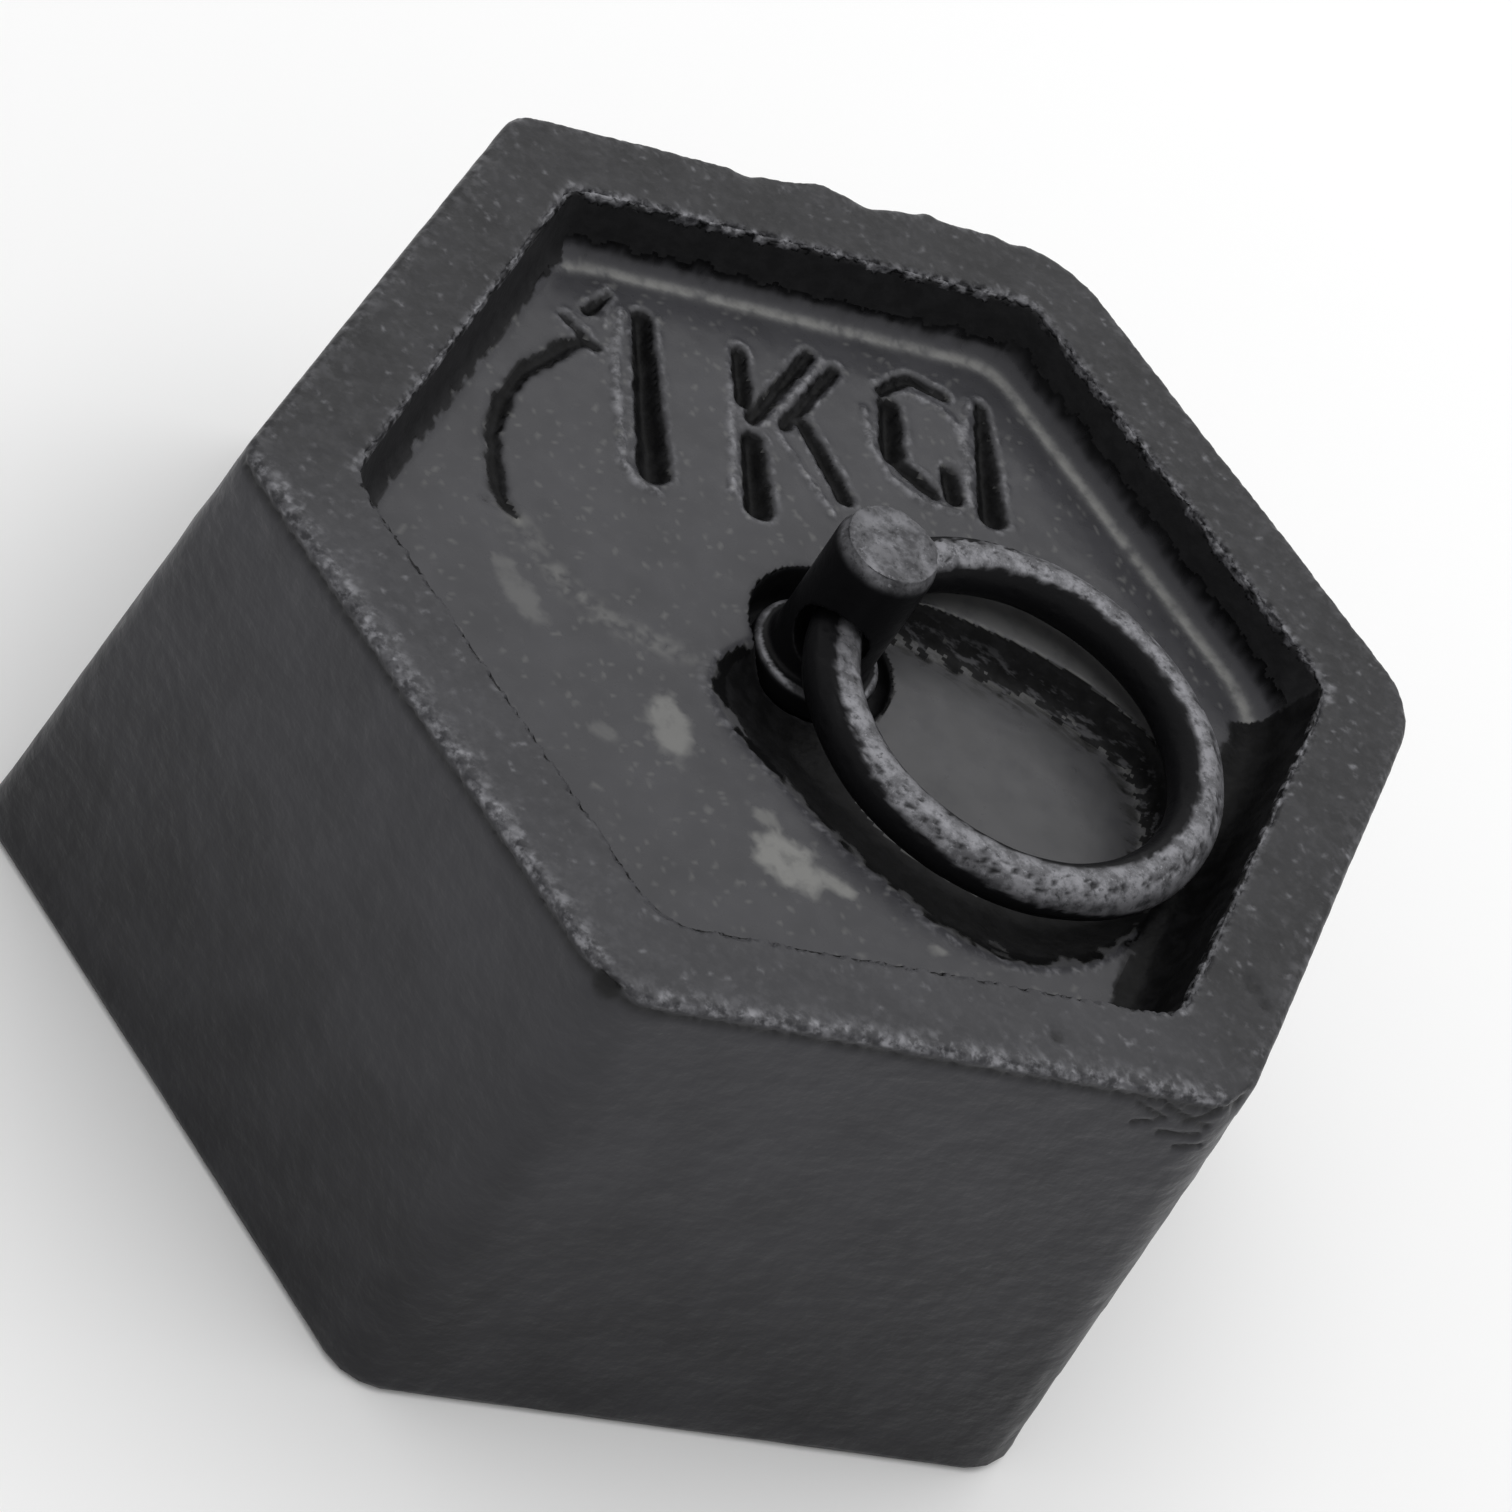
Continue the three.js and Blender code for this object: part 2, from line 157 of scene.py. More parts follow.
# Cracks on the front right side near its right corner: ends in mm as distance from the corner and depth
# below the rim, and half width
CRACKS = (
    ((6.4, 1.4), (4.3, 2.2), 0.20), ((4.5, 1.3), (1.4, 2.4), 0.24), ((6, 3), (4.6, 2.6), 0.16),
    ((4, 3.4), (1.6, 3.1), 0.20), ((3, 2.2), (1, 1), 0.24), ((2.6, 4.3), (0.9, 4), 0.18),
)


def linear(hex_colour):
    """The linear colour of an sRGB hex value."""
    channels = [int(hex_colour[i:i + 2], 16) / 255 for i in (1, 3, 5)]
    return [c / 12.92 if c <= 0.04045 else ((c + 0.055) / 1.055) ** 2.4 for c in channels]


# Settings that a user would change

LENGTH = {"unit": "LENGTH", "subtype": "DISTANCE", "precision": 5}
COLOUR = {"size": 3, "min": 0, "max": 1, "subtype": "COLOR"}


class WeightSizes(bpy.types.PropertyGroup):
    voxel: FloatProperty(
        name="Fineness", description="Size of the facets that the casting is cut into",
        default=0.26 * MM, min=0.1 * MM, **LENGTH)
    edge_wear: FloatProperty(
        name="Edge wear", description="How deep the edges of the rim are chipped",
        default=0.34 * MM, min=0, **LENGTH)
    unevenness: FloatProperty(
        name="Unevenness", description="How far the cast faces stray inwards from flat",
        default=0.13 * MM, min=0, **LENGTH)
    sand_grain: FloatProperty(
        name="Sand grain", description="Width of the grain that the moulding sand leaves",
        default=0.30 * MM, min=0.05 * MM, **LENGTH)


class WeightColours(bpy.types.PropertyGroup):
    paint: FloatVectorProperty(
        name="Paint", description="Black paint on the casting", default=linear("#363639"), **COLOUR)
    # Dark colour of the dirt in the cuts, and of the painted shade in the hollows
    dirt_and_shade: FloatVectorProperty(
        name="Dirt and shade", description="Dirt in the cuts, and the colour of the painted shade",
        default=linear("#1c1c1d"), **COLOUR)
    iron: FloatVectorProperty(
        name="Worn iron", description="Iron where the paint is gone", default=linear("#7e7e82"), **COLOUR)
    dust: FloatVectorProperty(
        name="Dust", description="Pale dried dust on the recess floor",
        default=linear("#7c7c7a"), **COLOUR)
    lead: FloatVectorProperty(
        name="Lead", description="Dull lead of the plug and the filling",
        default=linear("#7b7c80"), **COLOUR)
    floor: FloatVectorProperty(
        name="Floor", description="Pale studio floor", default=linear("#f6f6f6"), **COLOUR)


# Modelling tools

def select_only(*objs):
    bpy.ops.object.select_all(action="DESELECT")
    for obj in objs:
        obj.select_set(True)
    bpy.context.view_layer.objects.active = objs[0]


def settle(obj):
    """Puts the object's place, turn and size into its mesh."""
    select_only(obj)
    bpy.ops.object.transform_apply(location=True, rotation=True, scale=True)
    return obj


def pick(obj, kind, test):
    """Goes to edit mode with the vertices, edges or faces selected that pass the test."""
    select_only(obj)
    bpy.ops.object.mode_set(mode="EDIT")
    bpy.ops.mesh.select_mode(type=kind)
    bpy.ops.mesh.select_all(action="DESELECT")
    shape = bmesh.from_edit_mesh(obj.data)
    for item in {"VERT": shape.verts, "EDGE": shape.edges, "FACE": shape.faces}[kind]:
        if test(item):
            item.select_set(True)
    shape.select_flush_mode()
    bmesh.update_edit_mesh(obj.data)


def leave():
    bpy.ops.object.mode_set(mode="OBJECT")


def at_height(z):
    """Tests whether a vertex, or both ends of an edge, lie at a height."""
    def test(item):
        verts = getattr(item, "verts", [item])
        return all(abs(v.co.z - z) < 0.01 * MM for v in verts)
    return test


def block(name, low_radius, high_radius, low_z, high_z, sides=6):
    """A prism or cylinder, drawn in or out towards its top."""
    bpy.ops.mesh.primitive_cylinder_add(
        vertices=sides, radius=low_radius, depth=high_z - low_z, location=(0, 0, (low_z + high_z) / 2))
    obj = bpy.context.object
    obj.name = name
    settle(obj)
    pick(obj, "VERT", at_height(high_z))
    ratio = high_radius / low_radius
    bpy.ops.transform.resize(value=(ratio, ratio, 1), center_override=(0, 0, high_z))
    leave()
    return obj


def round_edges(obj, test, radius, segments):
    """Bevels the edges that pass the test."""
    pick(obj, "EDGE", test)
    bpy.ops.mesh.bevel(offset=radius, offset_type="OFFSET", segments=segments, affect="EDGES")
    leave()


def round_corner(obj, degrees, radius):
    """Rounds the upright edge of a hexagonal block that stands at an angle about Z."""
    way = Vector((cos(radians(degrees)), sin(radians(degrees)), 0))

    def upright(edge):
        a, b = (v.co.copy() for v in edge.verts)
        facing = min(a.xy.normalized() @ way.xy, b.xy.normalized() @ way.xy)
        return abs(a.z - b.z) > OVERCUT and facing > 0.999
    round_edges(obj, upright, radius * tan(radians(30)), 6)


def combine(target, tool, operation):
    """Joins or cuts the target with the tool, which is used up."""
    select_only(target)
    cut = target.modifiers.new("cut", "BOOLEAN")
    cut.operation = operation
    cut.object = tool
    cut.solver = "MANIFOLD"
    bpy.ops.object.modifier_apply(modifier=cut.name)
    if not target.data.polygons:
        raise RuntimeError(f"{operation} with {tool.name} left nothing")
    bpy.data.objects.remove(tool, do_unlink=True)


def apply(obj, kind, **settings):
    """Adds a modifier with its settings and applies it."""
    select_only(obj)
    modifier = obj.modifiers.new(kind.lower(), kind)
    for key, value in settings.items():
        setattr(modifier, key, value)
    bpy.ops.object.modifier_apply(modifier=modifier.name)


def remesh(obj, voxel, smoothing):
    """Cuts the skin into even facets and softens its edges a little."""
    apply(obj, "REMESH", mode="VOXEL", voxel_size=voxel, use_smooth_shade=True)
    apply(obj, "SMOOTH", factor=0.5, iterations=smoothing)


def get_points(obj, kind="co"):
    """The place of each vertex, or its normal."""
    values = np.empty(len(obj.data.vertices) * 3, np.float32)
    obj.data.vertices.foreach_get(kind, values)
    return values.reshape(-1, 3).astype(float)


def set_points(obj, points):
    obj.data.vertices.foreach_set("co", points.astype(np.float32).ravel())
    obj.data.update()


def set_attribute(obj, name, values):
    layer = obj.data.attributes.new(name, "FLOAT", "POINT")
    layer.data.foreach_set("value", values.astype(np.float32))


def rough(points, size, octaves, place):
    """Smooth random heights of about -1 to 1 over the points, with features of a size in mm."""
    shift = Vector((place, place * 0.7, -place))
    return np.array([noise.fractal(Vector(p) + shift, 1.0, 2.0, octaves) for p in points / (size * MM)])


def lumpy(points, size, octaves, place):
    """The same heights from 0 to 1."""
    return 0.5 + 0.5 * np.clip(rough(points, size, octaves, place), -1, 1)


def ramp(values, low, high):
    """0 below low, 1 above high and smooth between."""
    t = np.clip((values - low) / (high - low), 0, 1)
    return t * t * (3 - 2 * t)


def bell(away, width):
    """1 where away is 0, falling off smoothly to either side."""
    return np.exp(-(away / width) ** 2)


def convexity(obj, rounds):
    """How far each point stands out from the average of its surroundings."""
    edges = np.empty(len(obj.data.edges) * 2, np.int32)
    obj.data.edges.foreach_get("vertices", edges)
    a, b = edges.reshape(-1, 2).T
    points = get_points(obj)
    count = len(points)
    share = np.bincount(a, minlength=count) + np.bincount(b, minlength=count)
    smooth = points.copy()
    for _ in range(rounds):
        for axis in range(3):
            total = np.bincount(a, smooth[b, axis], count) + np.bincount(b, smooth[a, axis], count)
            smooth[:, axis] = 0.5 * smooth[:, axis] + 0.5 * total / share
    return np.einsum("ij,ij->i", points - smooth, get_points(obj, "normal"))


# Casting

def rounded_hexagon(angle, half, rounds):
    """Distance from the axis to a hexagon of that half width, with the corner radii given by angle."""
    corners = np.array(sorted(rounds))
    turn = np.degrees(angle)
    away = (turn[:, None] - corners + 180) % 360 - 180
    nearest = np.abs(away).argmin(axis=1)
    delta = np.radians(np.abs(away).min(axis=1))
    radius = np.array([rounds[c] for c in corners])[nearest]
    arc_centre = (half - radius) / COS_30
    tangent = np.arctan2(radius / 2, arc_centre + radius * COS_30)
    flat = half / np.cos(radians(30) - delta)
    inside = np.maximum(radius ** 2 - (arc_centre * np.sin(delta)) ** 2, 0)
    return np.where(delta < tangent, arc_centre * np.cos(delta) + np.sqrt(inside), flat)


def smooth_outline(angle, marks):
    """Distance from the centre at each angle, on a smooth closed curve through the marks."""
    at, reach = (np.array(column, float) for column in zip(*marks))
    turn = np.degrees(angle) % 360
    steps = np.interp(np.arange(360), np.r_[at - 360, at, at + 360], np.r_[reach, reach, reach])
    for _ in range(30):
        steps = (np.roll(steps, 1) + 2 * steps + np.roll(steps, -1)) / 4
    return np.interp(turn, np.arange(361), np.r_[steps, steps[0]]) * MM


def to_outline(obj, split_z, above, below):
    """Moves the points of a round block out to one outline above a height and to another below it."""
    points = get_points(obj)
    angle = np.arctan2(points[:, 1], points[:, 0])
    reach = np.where(points[:, 2] > split_z, above(angle), below(angle))
    set_points(obj, np.c_[np.cos(angle) * reach, np.sin(angle) * reach, points[:, 2]])


def cast_recess():
    """The hollow of the recess: sharp corners at its mouth, and wider rounds in the corners of its floor."""
    recess = block("recess", 1, 1, FLOOR_Z, TOP_Z + OVERCUT, 180)
    mouth_half = MOUTH_HALF + WALL_DRAFT * OVERCUT / (TOP_Z - FLOOR_Z)
    mouth, foot = ({angle: radii[i] * MM for angle, radii in CORNERS.items()} for i in (1, 2))
    to_outline(recess, TOP_Z, lambda angle: rounded_hexagon(angle, mouth_half, mouth),
               lambda angle: rounded_hexagon(angle, MOUTH_HALF - WALL_DRAFT, foot))
    round_edges(recess, at_height(FLOOR_Z), FOOT_ROUND, 6)
    return recess


def cast_well():
    """The hollow under the ring: a steep side at the back, and a long slope towards the front."""
    well_z = FLOOR_Z - WELL_DEPTH
    well = block("well", 1, 1, well_z, FLOOR_Z + OVERCUT, 180)

    def above(angle):
        edge = smooth_outline(angle, WELL_EDGE)
        return edge + (edge - smooth_outline(angle, WELL_FLOOR)) * OVERCUT / WELL_DEPTH
    to_outline(well, FLOOR_Z, above, lambda angle: smooth_outline(angle, WELL_FLOOR))
    round_edges(well, at_height(well_z), WELL_FOOT_ROUND, 5)
    well.location = WELL_CENTRE
    return settle(well)


def cast_block():
    """The casting with its recess, well, pocket, shank hole and adjusting cavity, all still sharp."""
    casting = block("painted_casting", BASE_HALF / COS_30, TOP_RADIUS, 0, TOP_Z)
    for degrees, radii in CORNERS.items():
        round_corner(casting, degrees, radii[0] * MM)
    round_edges(casting, at_height(TOP_Z), 0.45 * MM, 3)
    round_edges(casting, at_height(0), 0.7 * MM, 3)
    combine(casting, cast_recess(), "DIFFERENCE")
    combine(casting, cast_well(), "DIFFERENCE")
    for hollow in (
            ("pocket", POCKET_RADIUS, POCKET_RADIUS, FLOOR_Z - POCKET_DEPTH, FLOOR_Z + OVERCUT, 64),
            ("shank", SHANK_HOLE_RADIUS, SHANK_HOLE_RADIUS, CAVITY_DEPTH - OVERCUT, FLOOR_Z, 48),
            ("cavity", CAVITY_MOUTH_RADIUS, CAVITY_INNER_RADIUS, -OVERCUT, CAVITY_DEPTH, 72)):
        combine(casting, block(*hollow), "DIFFERENCE")
    return casting


def along(points, start, end):
    """How far along the line from start to end each point lies, 0 to 1, and its distance from that line."""
    start, end = np.array(start) * MM, np.array(end) * MM
    way = end - start
    share = np.clip((points[:, :2] - start) @ way / (way @ way), 0, 1)
    return share, np.hypot(*(points[:, :2] - start - share[:, None] * way).T)


def carve_mark(points):
    """Depth of the cut strokes, less than 0 outside them, and height of the burrs at points of the floor."""
    ragged = 0.16 * MM * rough(points, 0.55, 2, 51.0)
    depth = np.full(len(points), -1.0)
    for start, end, wide_start, wide_end in TRENCHES:
        share, away = along(points, start, end)
        half = (wide_start + (wide_end - wide_start) * share) / 2 * MM
        depth = np.maximum(depth, (half - away - ragged) * TRENCH_STEEPNESS)
    burr = np.zeros(len(points))
    for line, half in BURRS:
        away = np.min([along(points, a, b)[1] for a, b in zip(line, line[1:])], axis=0)
        burr = np.maximum(burr, bell(away + ragged, half * MM))
    torn = rough(points, 0.9, 2, 53.0)
    raised_edge = bell(depth + 0.3 * MM, 0.2 * MM) * ramp(torn, -0.5, 0.4)
    return depth, np.maximum(burr * (0.75 + 0.4 * torn), 0.7 * raised_edge)


def ring_mark(points):
    """Strength of the beaten crack and of the dusty band at points of the recess floor."""
    away = points[:, :2] - np.array(RING_MARK_CENTRE.xy)
    reach = np.hypot(away[:, 0], away[:, 1])
    angle = np.degrees(np.arctan2(away[:, 1], away[:, 0])) % 360
    start, turn, end = RING_MARK_ANGLES
    stray = reach - RING_MARK_RADIUS + 0.3 * MM * rough(points, 1.6, 3, 5.0)
    half = 0.42 * MM * (1 + 0.6 * rough(points, 1.1, 2, 6.0))
    crack = bell(stray, half)
    crack *= ramp(angle, start, start + 6) * (1 - ramp(angle, turn - 8, turn + 4))
    band = bell(stray, 0.8 * MM)
    band *= ramp(angle, turn - 10, turn) * (1 - ramp(angle, end - 14, end))
    return crack, band


def half_width(points):
    """Half width of the hexagon on which each point lies, and the angle that its side faces."""
    turns = np.radians(np.arange(0, 360, 60))
    spans = points[:, :2] @ np.array([np.cos(turns), np.sin(turns)])
    return spans.max(axis=1), np.arange(0, 360, 60)[spans.argmax(axis=1)]


def well_share(points):
    """How far down its side each point of the well lies, 0 at the mouth and 1 at the foot, and its angle."""
    away = points[:, :2] - np.array(WELL_CENTRE.xy)
    angle = np.arctan2(away[:, 1], away[:, 0])
    edge, foot = smooth_outline(angle, WELL_EDGE), smooth_outline(angle, WELL_FLOOR)
    return (edge - np.hypot(*away.T)) / (edge - foot), np.degrees(angle) % 360


def painted_shade_in_well(points):
    """Where the well is painted black as shade, on its front slope under the ring and on its back, and where
    grey shows through in streaks at the edge of that shade.
    """
    share, angle = well_share(points)
    back = 1 - ramp(share + 0.8 * rough(points * np.array((0.3, 1.0, 1.0)), 0.5, 3, 61.0), 0.9, 1.6)
    away = np.hypot(points[:, 0] - RING_CENTRE.x, points[:, 1])
    # Painted shadow of the ring on the front slope of the well
    under_ring = ramp(away, RING_RADIUS - 2.2 * MM, RING_RADIUS - 1.8 * MM)
    front = np.maximum(1.0 - ramp(share, 1.05, 1.2), under_ring)
    front *= ramp(share + 0.3 * rough(points, 1.1, 3, 77.0), 0.02, 0.3)
    at_back = ramp(angle, 2, 14) * (1 - ramp(angle, 160, 176))
    streaked = ramp(share, 0.1, 0.9) * (1 - ramp(share, 1.5, 2.6)) * at_back
    return back * at_back + front * (1 - at_back), streaked


def painted_shade_by_right_wall(points, half, side):
    """Painted shade that reaches from the foot of the right wall on to the floor of the recess."""
    ragged = 0.7 * MM * rough(points, 1.3, 3, 69.0)
    return (1 - ramp(MOUTH_HALF - WALL_DRAFT - half + ragged, 1.7 * MM, 2.9 * MM)) * (side == RIGHT_SIDE)


def crack_depth(points):
    """Depth of the cracks below the rim."""
    place = np.c_[TOP_RADIUS / 2 - points[:, :2] @ (COS_30, 0.5), TOP_Z - points[:, 2]]
    ragged = 0.1 * MM * rough(points, 0.6, 2, 55.0)
    depth = np.zeros(len(points))
    for start, end, half in CRACKS:
        depth = np.maximum(depth, bell(along(place, start, end)[1] + ragged, half * MM))
    return depth


def weather_casting(casting, sizes):
    """Cuts the marks, chips the edges, warps the faces and notes where the skin is worn, dirty and dusty,
    and where light and shade are painted on it.
    """
    points = get_points(casting)
    normals = get_points(casting, "normal")
    stands_out = convexity(casting, 10)
    half, side = half_width(points)
    height, count = points[:, 2], len(points)
    tilt = np.degrees(np.arccos(np.clip(normals[:, 2], -1, 1)))
    on_base = 1 - ramp(height, 0.5 * MM, 2.0 * MM)
    outside = half > MOUTH_HALF + 0.1 * MM
    inside = ~outside & (height > FLOOR_Z - POCKET_DEPTH - OVERCUT) & (height < TOP_Z - 0.2 * MM)
    floor_level = inside & (np.abs(height - FLOOR_Z) < 0.5 * MM) & (normals[:, 2] > 0.7)
    near_top = height > TOP_Z - 2.5 * MM
    front = np.isin(side, FRONT_SIDES)
    edge = ramp(stands_out, 0.025 * MM, 0.12 * MM)

    depth = sizes.unevenness * lumpy(points, 13, 2, 3.0) * (1 - on_base)
    lumps = lumpy(points, 2.2, 3, 7.0)
    depth += np.where(outside & ~near_top, 0.11, 0.06) * MM * lumps * (1 - on_base)
    fine = np.zeros(count)
    fine[near_top] = ramp(rough(points[near_top], 0.6, 3, 11.0), -0.3, 0.4)
    mouth_band = bell(half - MOUTH_HALF, 0.35 * MM)
    far_edge = (half > MOUTH_HALF + RIM_WIDTH / 2) & ~front
    depth += sizes.edge_wear * edge * fine * (1 + 0.9 * mouth_band) * np.where(far_edge, 0.25, 1.0)
    undercut = bell(height - TOP_Z + 0.95 * MM, 0.3 * MM) * (tilt > 60) * outside * front
    depth += 0.24 * MM * undercut * (0.4 + 0.6 * fine)
    pits = np.zeros(count)
    for place, radius, sunk in DENTS:
        away = np.linalg.norm(points - np.array(place) * MM, axis=1)
        pits += sunk * MM * bell(away, radius * MM)
    cracks = np.zeros(count)
    at_side = np.flatnonzero(outside & (side == FRONT_SIDES[1]) & (height > TOP_Z - 6 * MM) & (tilt > 45))
    cracks[at_side] = crack_depth(points[at_side])
    depth += pits + 0.22 * MM * cracks

    on_floor = np.flatnonzero(floor_level)
    trench, burr = carve_mark(points[on_floor])
    cut = trench > -0.45 * MM
    trench = np.clip(trench, 0, 1.1 * MM)
    crack, band = ring_mark(points[on_floor])
    burr *= trench < 0.1 * MM
    lift = BURR_HEIGHT * burr - trench - 0.45 * MM * crack
    lift -= 0.10 * MM * band * rough(points[on_floor], 0.6, 2, 57.0)
    moved = points - normals * depth[:, None]
    moved[on_floor, 2] += lift
    moved[:, 2] = np.where(height < 0.3 * MM, np.maximum(height, 0), np.minimum(moved[:, 2], TOP_Z))
    set_points(casting, moved)
    cuts = casting.vertex_groups.new(name="cuts")
    cuts.add([int(i) for i in on_floor[cut | (crack > 0.01)]], 1.0, "REPLACE")
    apply(casting, "SMOOTH", factor=0.5, iterations=4, vertex_group=cuts.name)

    outer_band = bell(np.maximum(TOP_RADIUS * COS_30 - half, 0), 0.95 * MM)
    on_rim = (height > TOP_Z - 0.5 * MM) & outside
    specks = 0.5 * ramp(rough(points, 0.45, 2, 13.0), 0.42, 0.65)
    wear_and_highlight = 0.07 + specks + outer_band * np.where(front, 1.1, 0.25) + mouth_band * np.where(front, 0.2, 1.1)
    wear_and_highlight *= on_rim * (0.25 + 0.75 * fine)
    at_mouth = (height > TOP_Z - 0.9 * MM) & (np.abs(half - MOUTH_HALF) < 0.7 * MM) & ~front
    bare_mouth = at_mouth * mouth_band * (0.35 + 0.65 * ramp(rough(points, 0.9, 3, 15.0), -0.5, 0.4))
    wear_and_highlight = np.maximum(wear_and_highlight, bare_mouth)
    wear_and_highlight[on_floor] = np.maximum(wear_and_highlight[on_floor], 0.8 * burr)
    # Painted highlight: the foot of the far walls, where it tilts towards the lamp, is painted grey and pale
    foot = inside & (height > FLOOR_Z - 0.3 * MM) & (height < FLOOR_Z + FOOT_ROUND) \
        & (half > MOUTH_HALF - 3.5 * MM) & np.isin(side, FAR_SIDES)
    at_foot = np.flatnonzero(foot)
    highlight_breakup = ramp(rough(points[at_foot], 0.8, 3, 63.0), -1.1, 0.3)
    painted_foot_highlight = highlight_breakup * bell(tilt[at_foot] - 24, 11)
    wear_and_highlight[at_foot] = np.maximum(wear_and_highlight[at_foot], 0.35 * painted_foot_highlight)

    # Painted shade: black high on the recess walls and grey towards their foot, and black in the well, the
    # pocket, the cuts, the cracks and beside the right wall
    painted_shade = np.zeros(count)
    at_wall = np.flatnonzero(inside & (height > FLOOR_Z + 0.15 * MM) & (tilt > 20))
    patchy = rough(points[at_wall] * np.array((1.0, 1.0, 0.4)), 0.9, 3, 65.0)
    rise = height[at_wall] - FLOOR_Z + 0.5 * MM * patchy
    far_walls = [side[at_wall] == angle for angle in FAR_SIDES]
    fade_start = np.select(far_walls, [0.7 * MM, 0.5 * MM], 0.0)
    fade_end = np.select(far_walls, [3.6 * MM, 2.6 * MM], 0.6 * MM)
    painted_shade[at_wall] = np.clip((rise - fade_start) / (fade_end - fade_start), 0, 1) * (1 - bare_mouth[at_wall])
    sunken = inside & (height < FLOOR_Z - 0.12 * MM)
    at_pocket = sunken & (np.hypot(points[:, 0], points[:, 1]) < POCKET_RADIUS + 0.3 * MM)
    in_well = np.flatnonzero(sunken & ~at_pocket)
    streaked = np.zeros(count)
    painted_shade[in_well], streaked[in_well] = painted_shade_in_well(points[in_well])
    painted_shade[at_pocket] = 1
    painted_shade[on_floor] = np.maximum(painted_shade[on_floor], np.clip(trench / (0.5 * MM) + 1.7 * crack, 0, 1))
    painted_shade[on_floor] = np.maximum(painted_shade[on_floor], painted_shade_by_right_wall(points[on_floor], half[on_floor], side[on_floor]))
    # Darker in the cuts, the dents and the cracks and under the front edge of the rim: dirt there, and
    # painted shade
    dirt_and_shade = np.zeros(count)
    dirt_and_shade[on_floor] = np.clip(trench / (0.15 * MM) + 1.2 * crack, 0, 1)
    dirt_and_shade = np.maximum(dirt_and_shade, np.maximum(0.8 * undercut, np.maximum(ramp(pits, 0.12 * MM, 0.35 * MM), cracks)))
    lip = np.zeros(count)
    share, angle = well_share(points[on_floor])
    along_front = ramp(angle, 185, 200) * (1 - ramp(angle, 320, 335))
    lip[on_floor] = bell(share + 0.03, 0.07) * along_front
    at_lip = np.flatnonzero(lip > 0.02)
    lip[at_lip] *= ramp(rough(points[at_lip], 0.6, 3, 67.0), -0.2, 0.35)
    # Dust, with painted light too: the paler strip beyond the well and the pale highlight at the foot of the
    # far walls
    dust_and_highlight = np.zeros(count)
    dust_and_highlight[on_floor] = np.maximum(dust(points[on_floor], band), painted_light_beyond_well(share, angle))
    dust_and_highlight[in_well] = 0.12
    dust_and_highlight[at_foot] = np.maximum(dust_and_highlight[at_foot], 0.95 * painted_foot_highlight)
    # Painted light and shade: the sides darker towards the bottom, the rim lighter towards the front, the
    # right wall darker than the other walls, and the floor and the well darker under their painted shade
    turn = np.degrees(np.arctan2(points[:, 1], points[:, 0])) % 360
    to_front = ramp(turn, 200, 222) * (1 - ramp(turn, 318, 340))
    painted_light = 0.22 + 0.42 * ramp(height, 3 * MM, 32 * MM)
    painted_light = np.where(on_rim, 0.10 + 0.38 * to_front, np.where(outside, painted_light, 0.62))
    painted_light[on_floor] -= 0.5 * ramp(painted_shade[on_floor], 0.3, 0.8)
    painted_light[at_wall] = np.where(side[at_wall] == RIGHT_SIDE, 0.1, 0.8)
    painted_light[in_well] -= 0.42 * painted_shade[in_well]
    wear_and_highlight = np.clip(np.maximum(wear_and_highlight, 0.7 * lip), 0, 1)
    # The attribute named dust also holds the painted light of the strip beyond the well and of the foot
    # highlight
    for name, values in (("painted_light", painted_light), ("wear_and_highlight", wear_and_highlight), ("dirt_and_shade", dirt_and_shade), ("recess", inside),
                         ("painted_shade", np.clip(painted_shade, 0, 1)), ("dust", dust_and_highlight), ("streaked", streaked)):
        set_attribute(casting, name, values)


def thin_out(casting):
    """Joins facets on the sides, the base and in the cavity, whose shape needs fewer than the recess."""
    def plain(face):
        place = face.calc_center_median()
        cracked = place.x > 24 * MM and place.y < 0 and place.z > TOP_Z - 7 * MM
        return place.z < FLOOR_Z - POCKET_DEPTH - OVERCUT or (
            place.z < TOP_Z - 2.5 * MM and place.xy.length > 32.2 * MM and not cracked)
    pick(casting, "FACE", plain)
    casting.update_from_editmode()
    chosen = sum(face.select for face in casting.data.polygons)
    spare = MOST_TRIANGLES - 2 * (len(casting.data.polygons) - chosen)
    if spare < 0:
        raise RuntimeError("the recess and the rim alone have too many facets")
    bpy.ops.mesh.decimate(ratio=min(1.0, spare / (2 * chosen)))
    leave()


def give_painted_shade_material(casting, material):
    """Gives the faces that the painted shade covers their own black material."""
    mesh = casting.data
    mesh.materials.append(material)
    first = np.empty(len(mesh.polygons), np.int32)
    corners = np.empty(len(mesh.loops), np.int32)
    painted_shade = np.empty(len(mesh.vertices), np.float32)
    mesh.polygons.foreach_get("loop_start", first)
    mesh.loops.foreach_get("vertex_index", corners)
    mesh.attributes["painted_shade"].data.foreach_get("value", painted_shade)
    share = np.add.reduceat(painted_shade[corners], first) / np.diff(np.r_[first, len(corners)])
    mesh.polygons.foreach_set("material_index", (share > 0.5).astype(np.int32))
    mesh.update()


# Pale stains on the recess floor: place in mm, half sizes in mm, turn in degrees and strength
STAINS = (
    ((-5.0, -14.0), 2.3, 1.3, -52, 0.7),
    ((4.6, -17.9), 2.3, 1.7, -8, 0.9), ((7.6, -17.3), 1.2, 0.6, 0, 0.8), ((2.2, -15.9), 0.8, 0.6, 0, 0.5),
    ((-16.2, -11.6), 2.3, 1.0, -32, 0.33), ((-18.0, -10.2), 0.8, 0.6, 0, 0.3),
    ((-8.0, -17.3), 0.9, 0.6, 0, 0.3), ((14.4, -17.2), 0.5, 0.35, 20, 0.6),
)


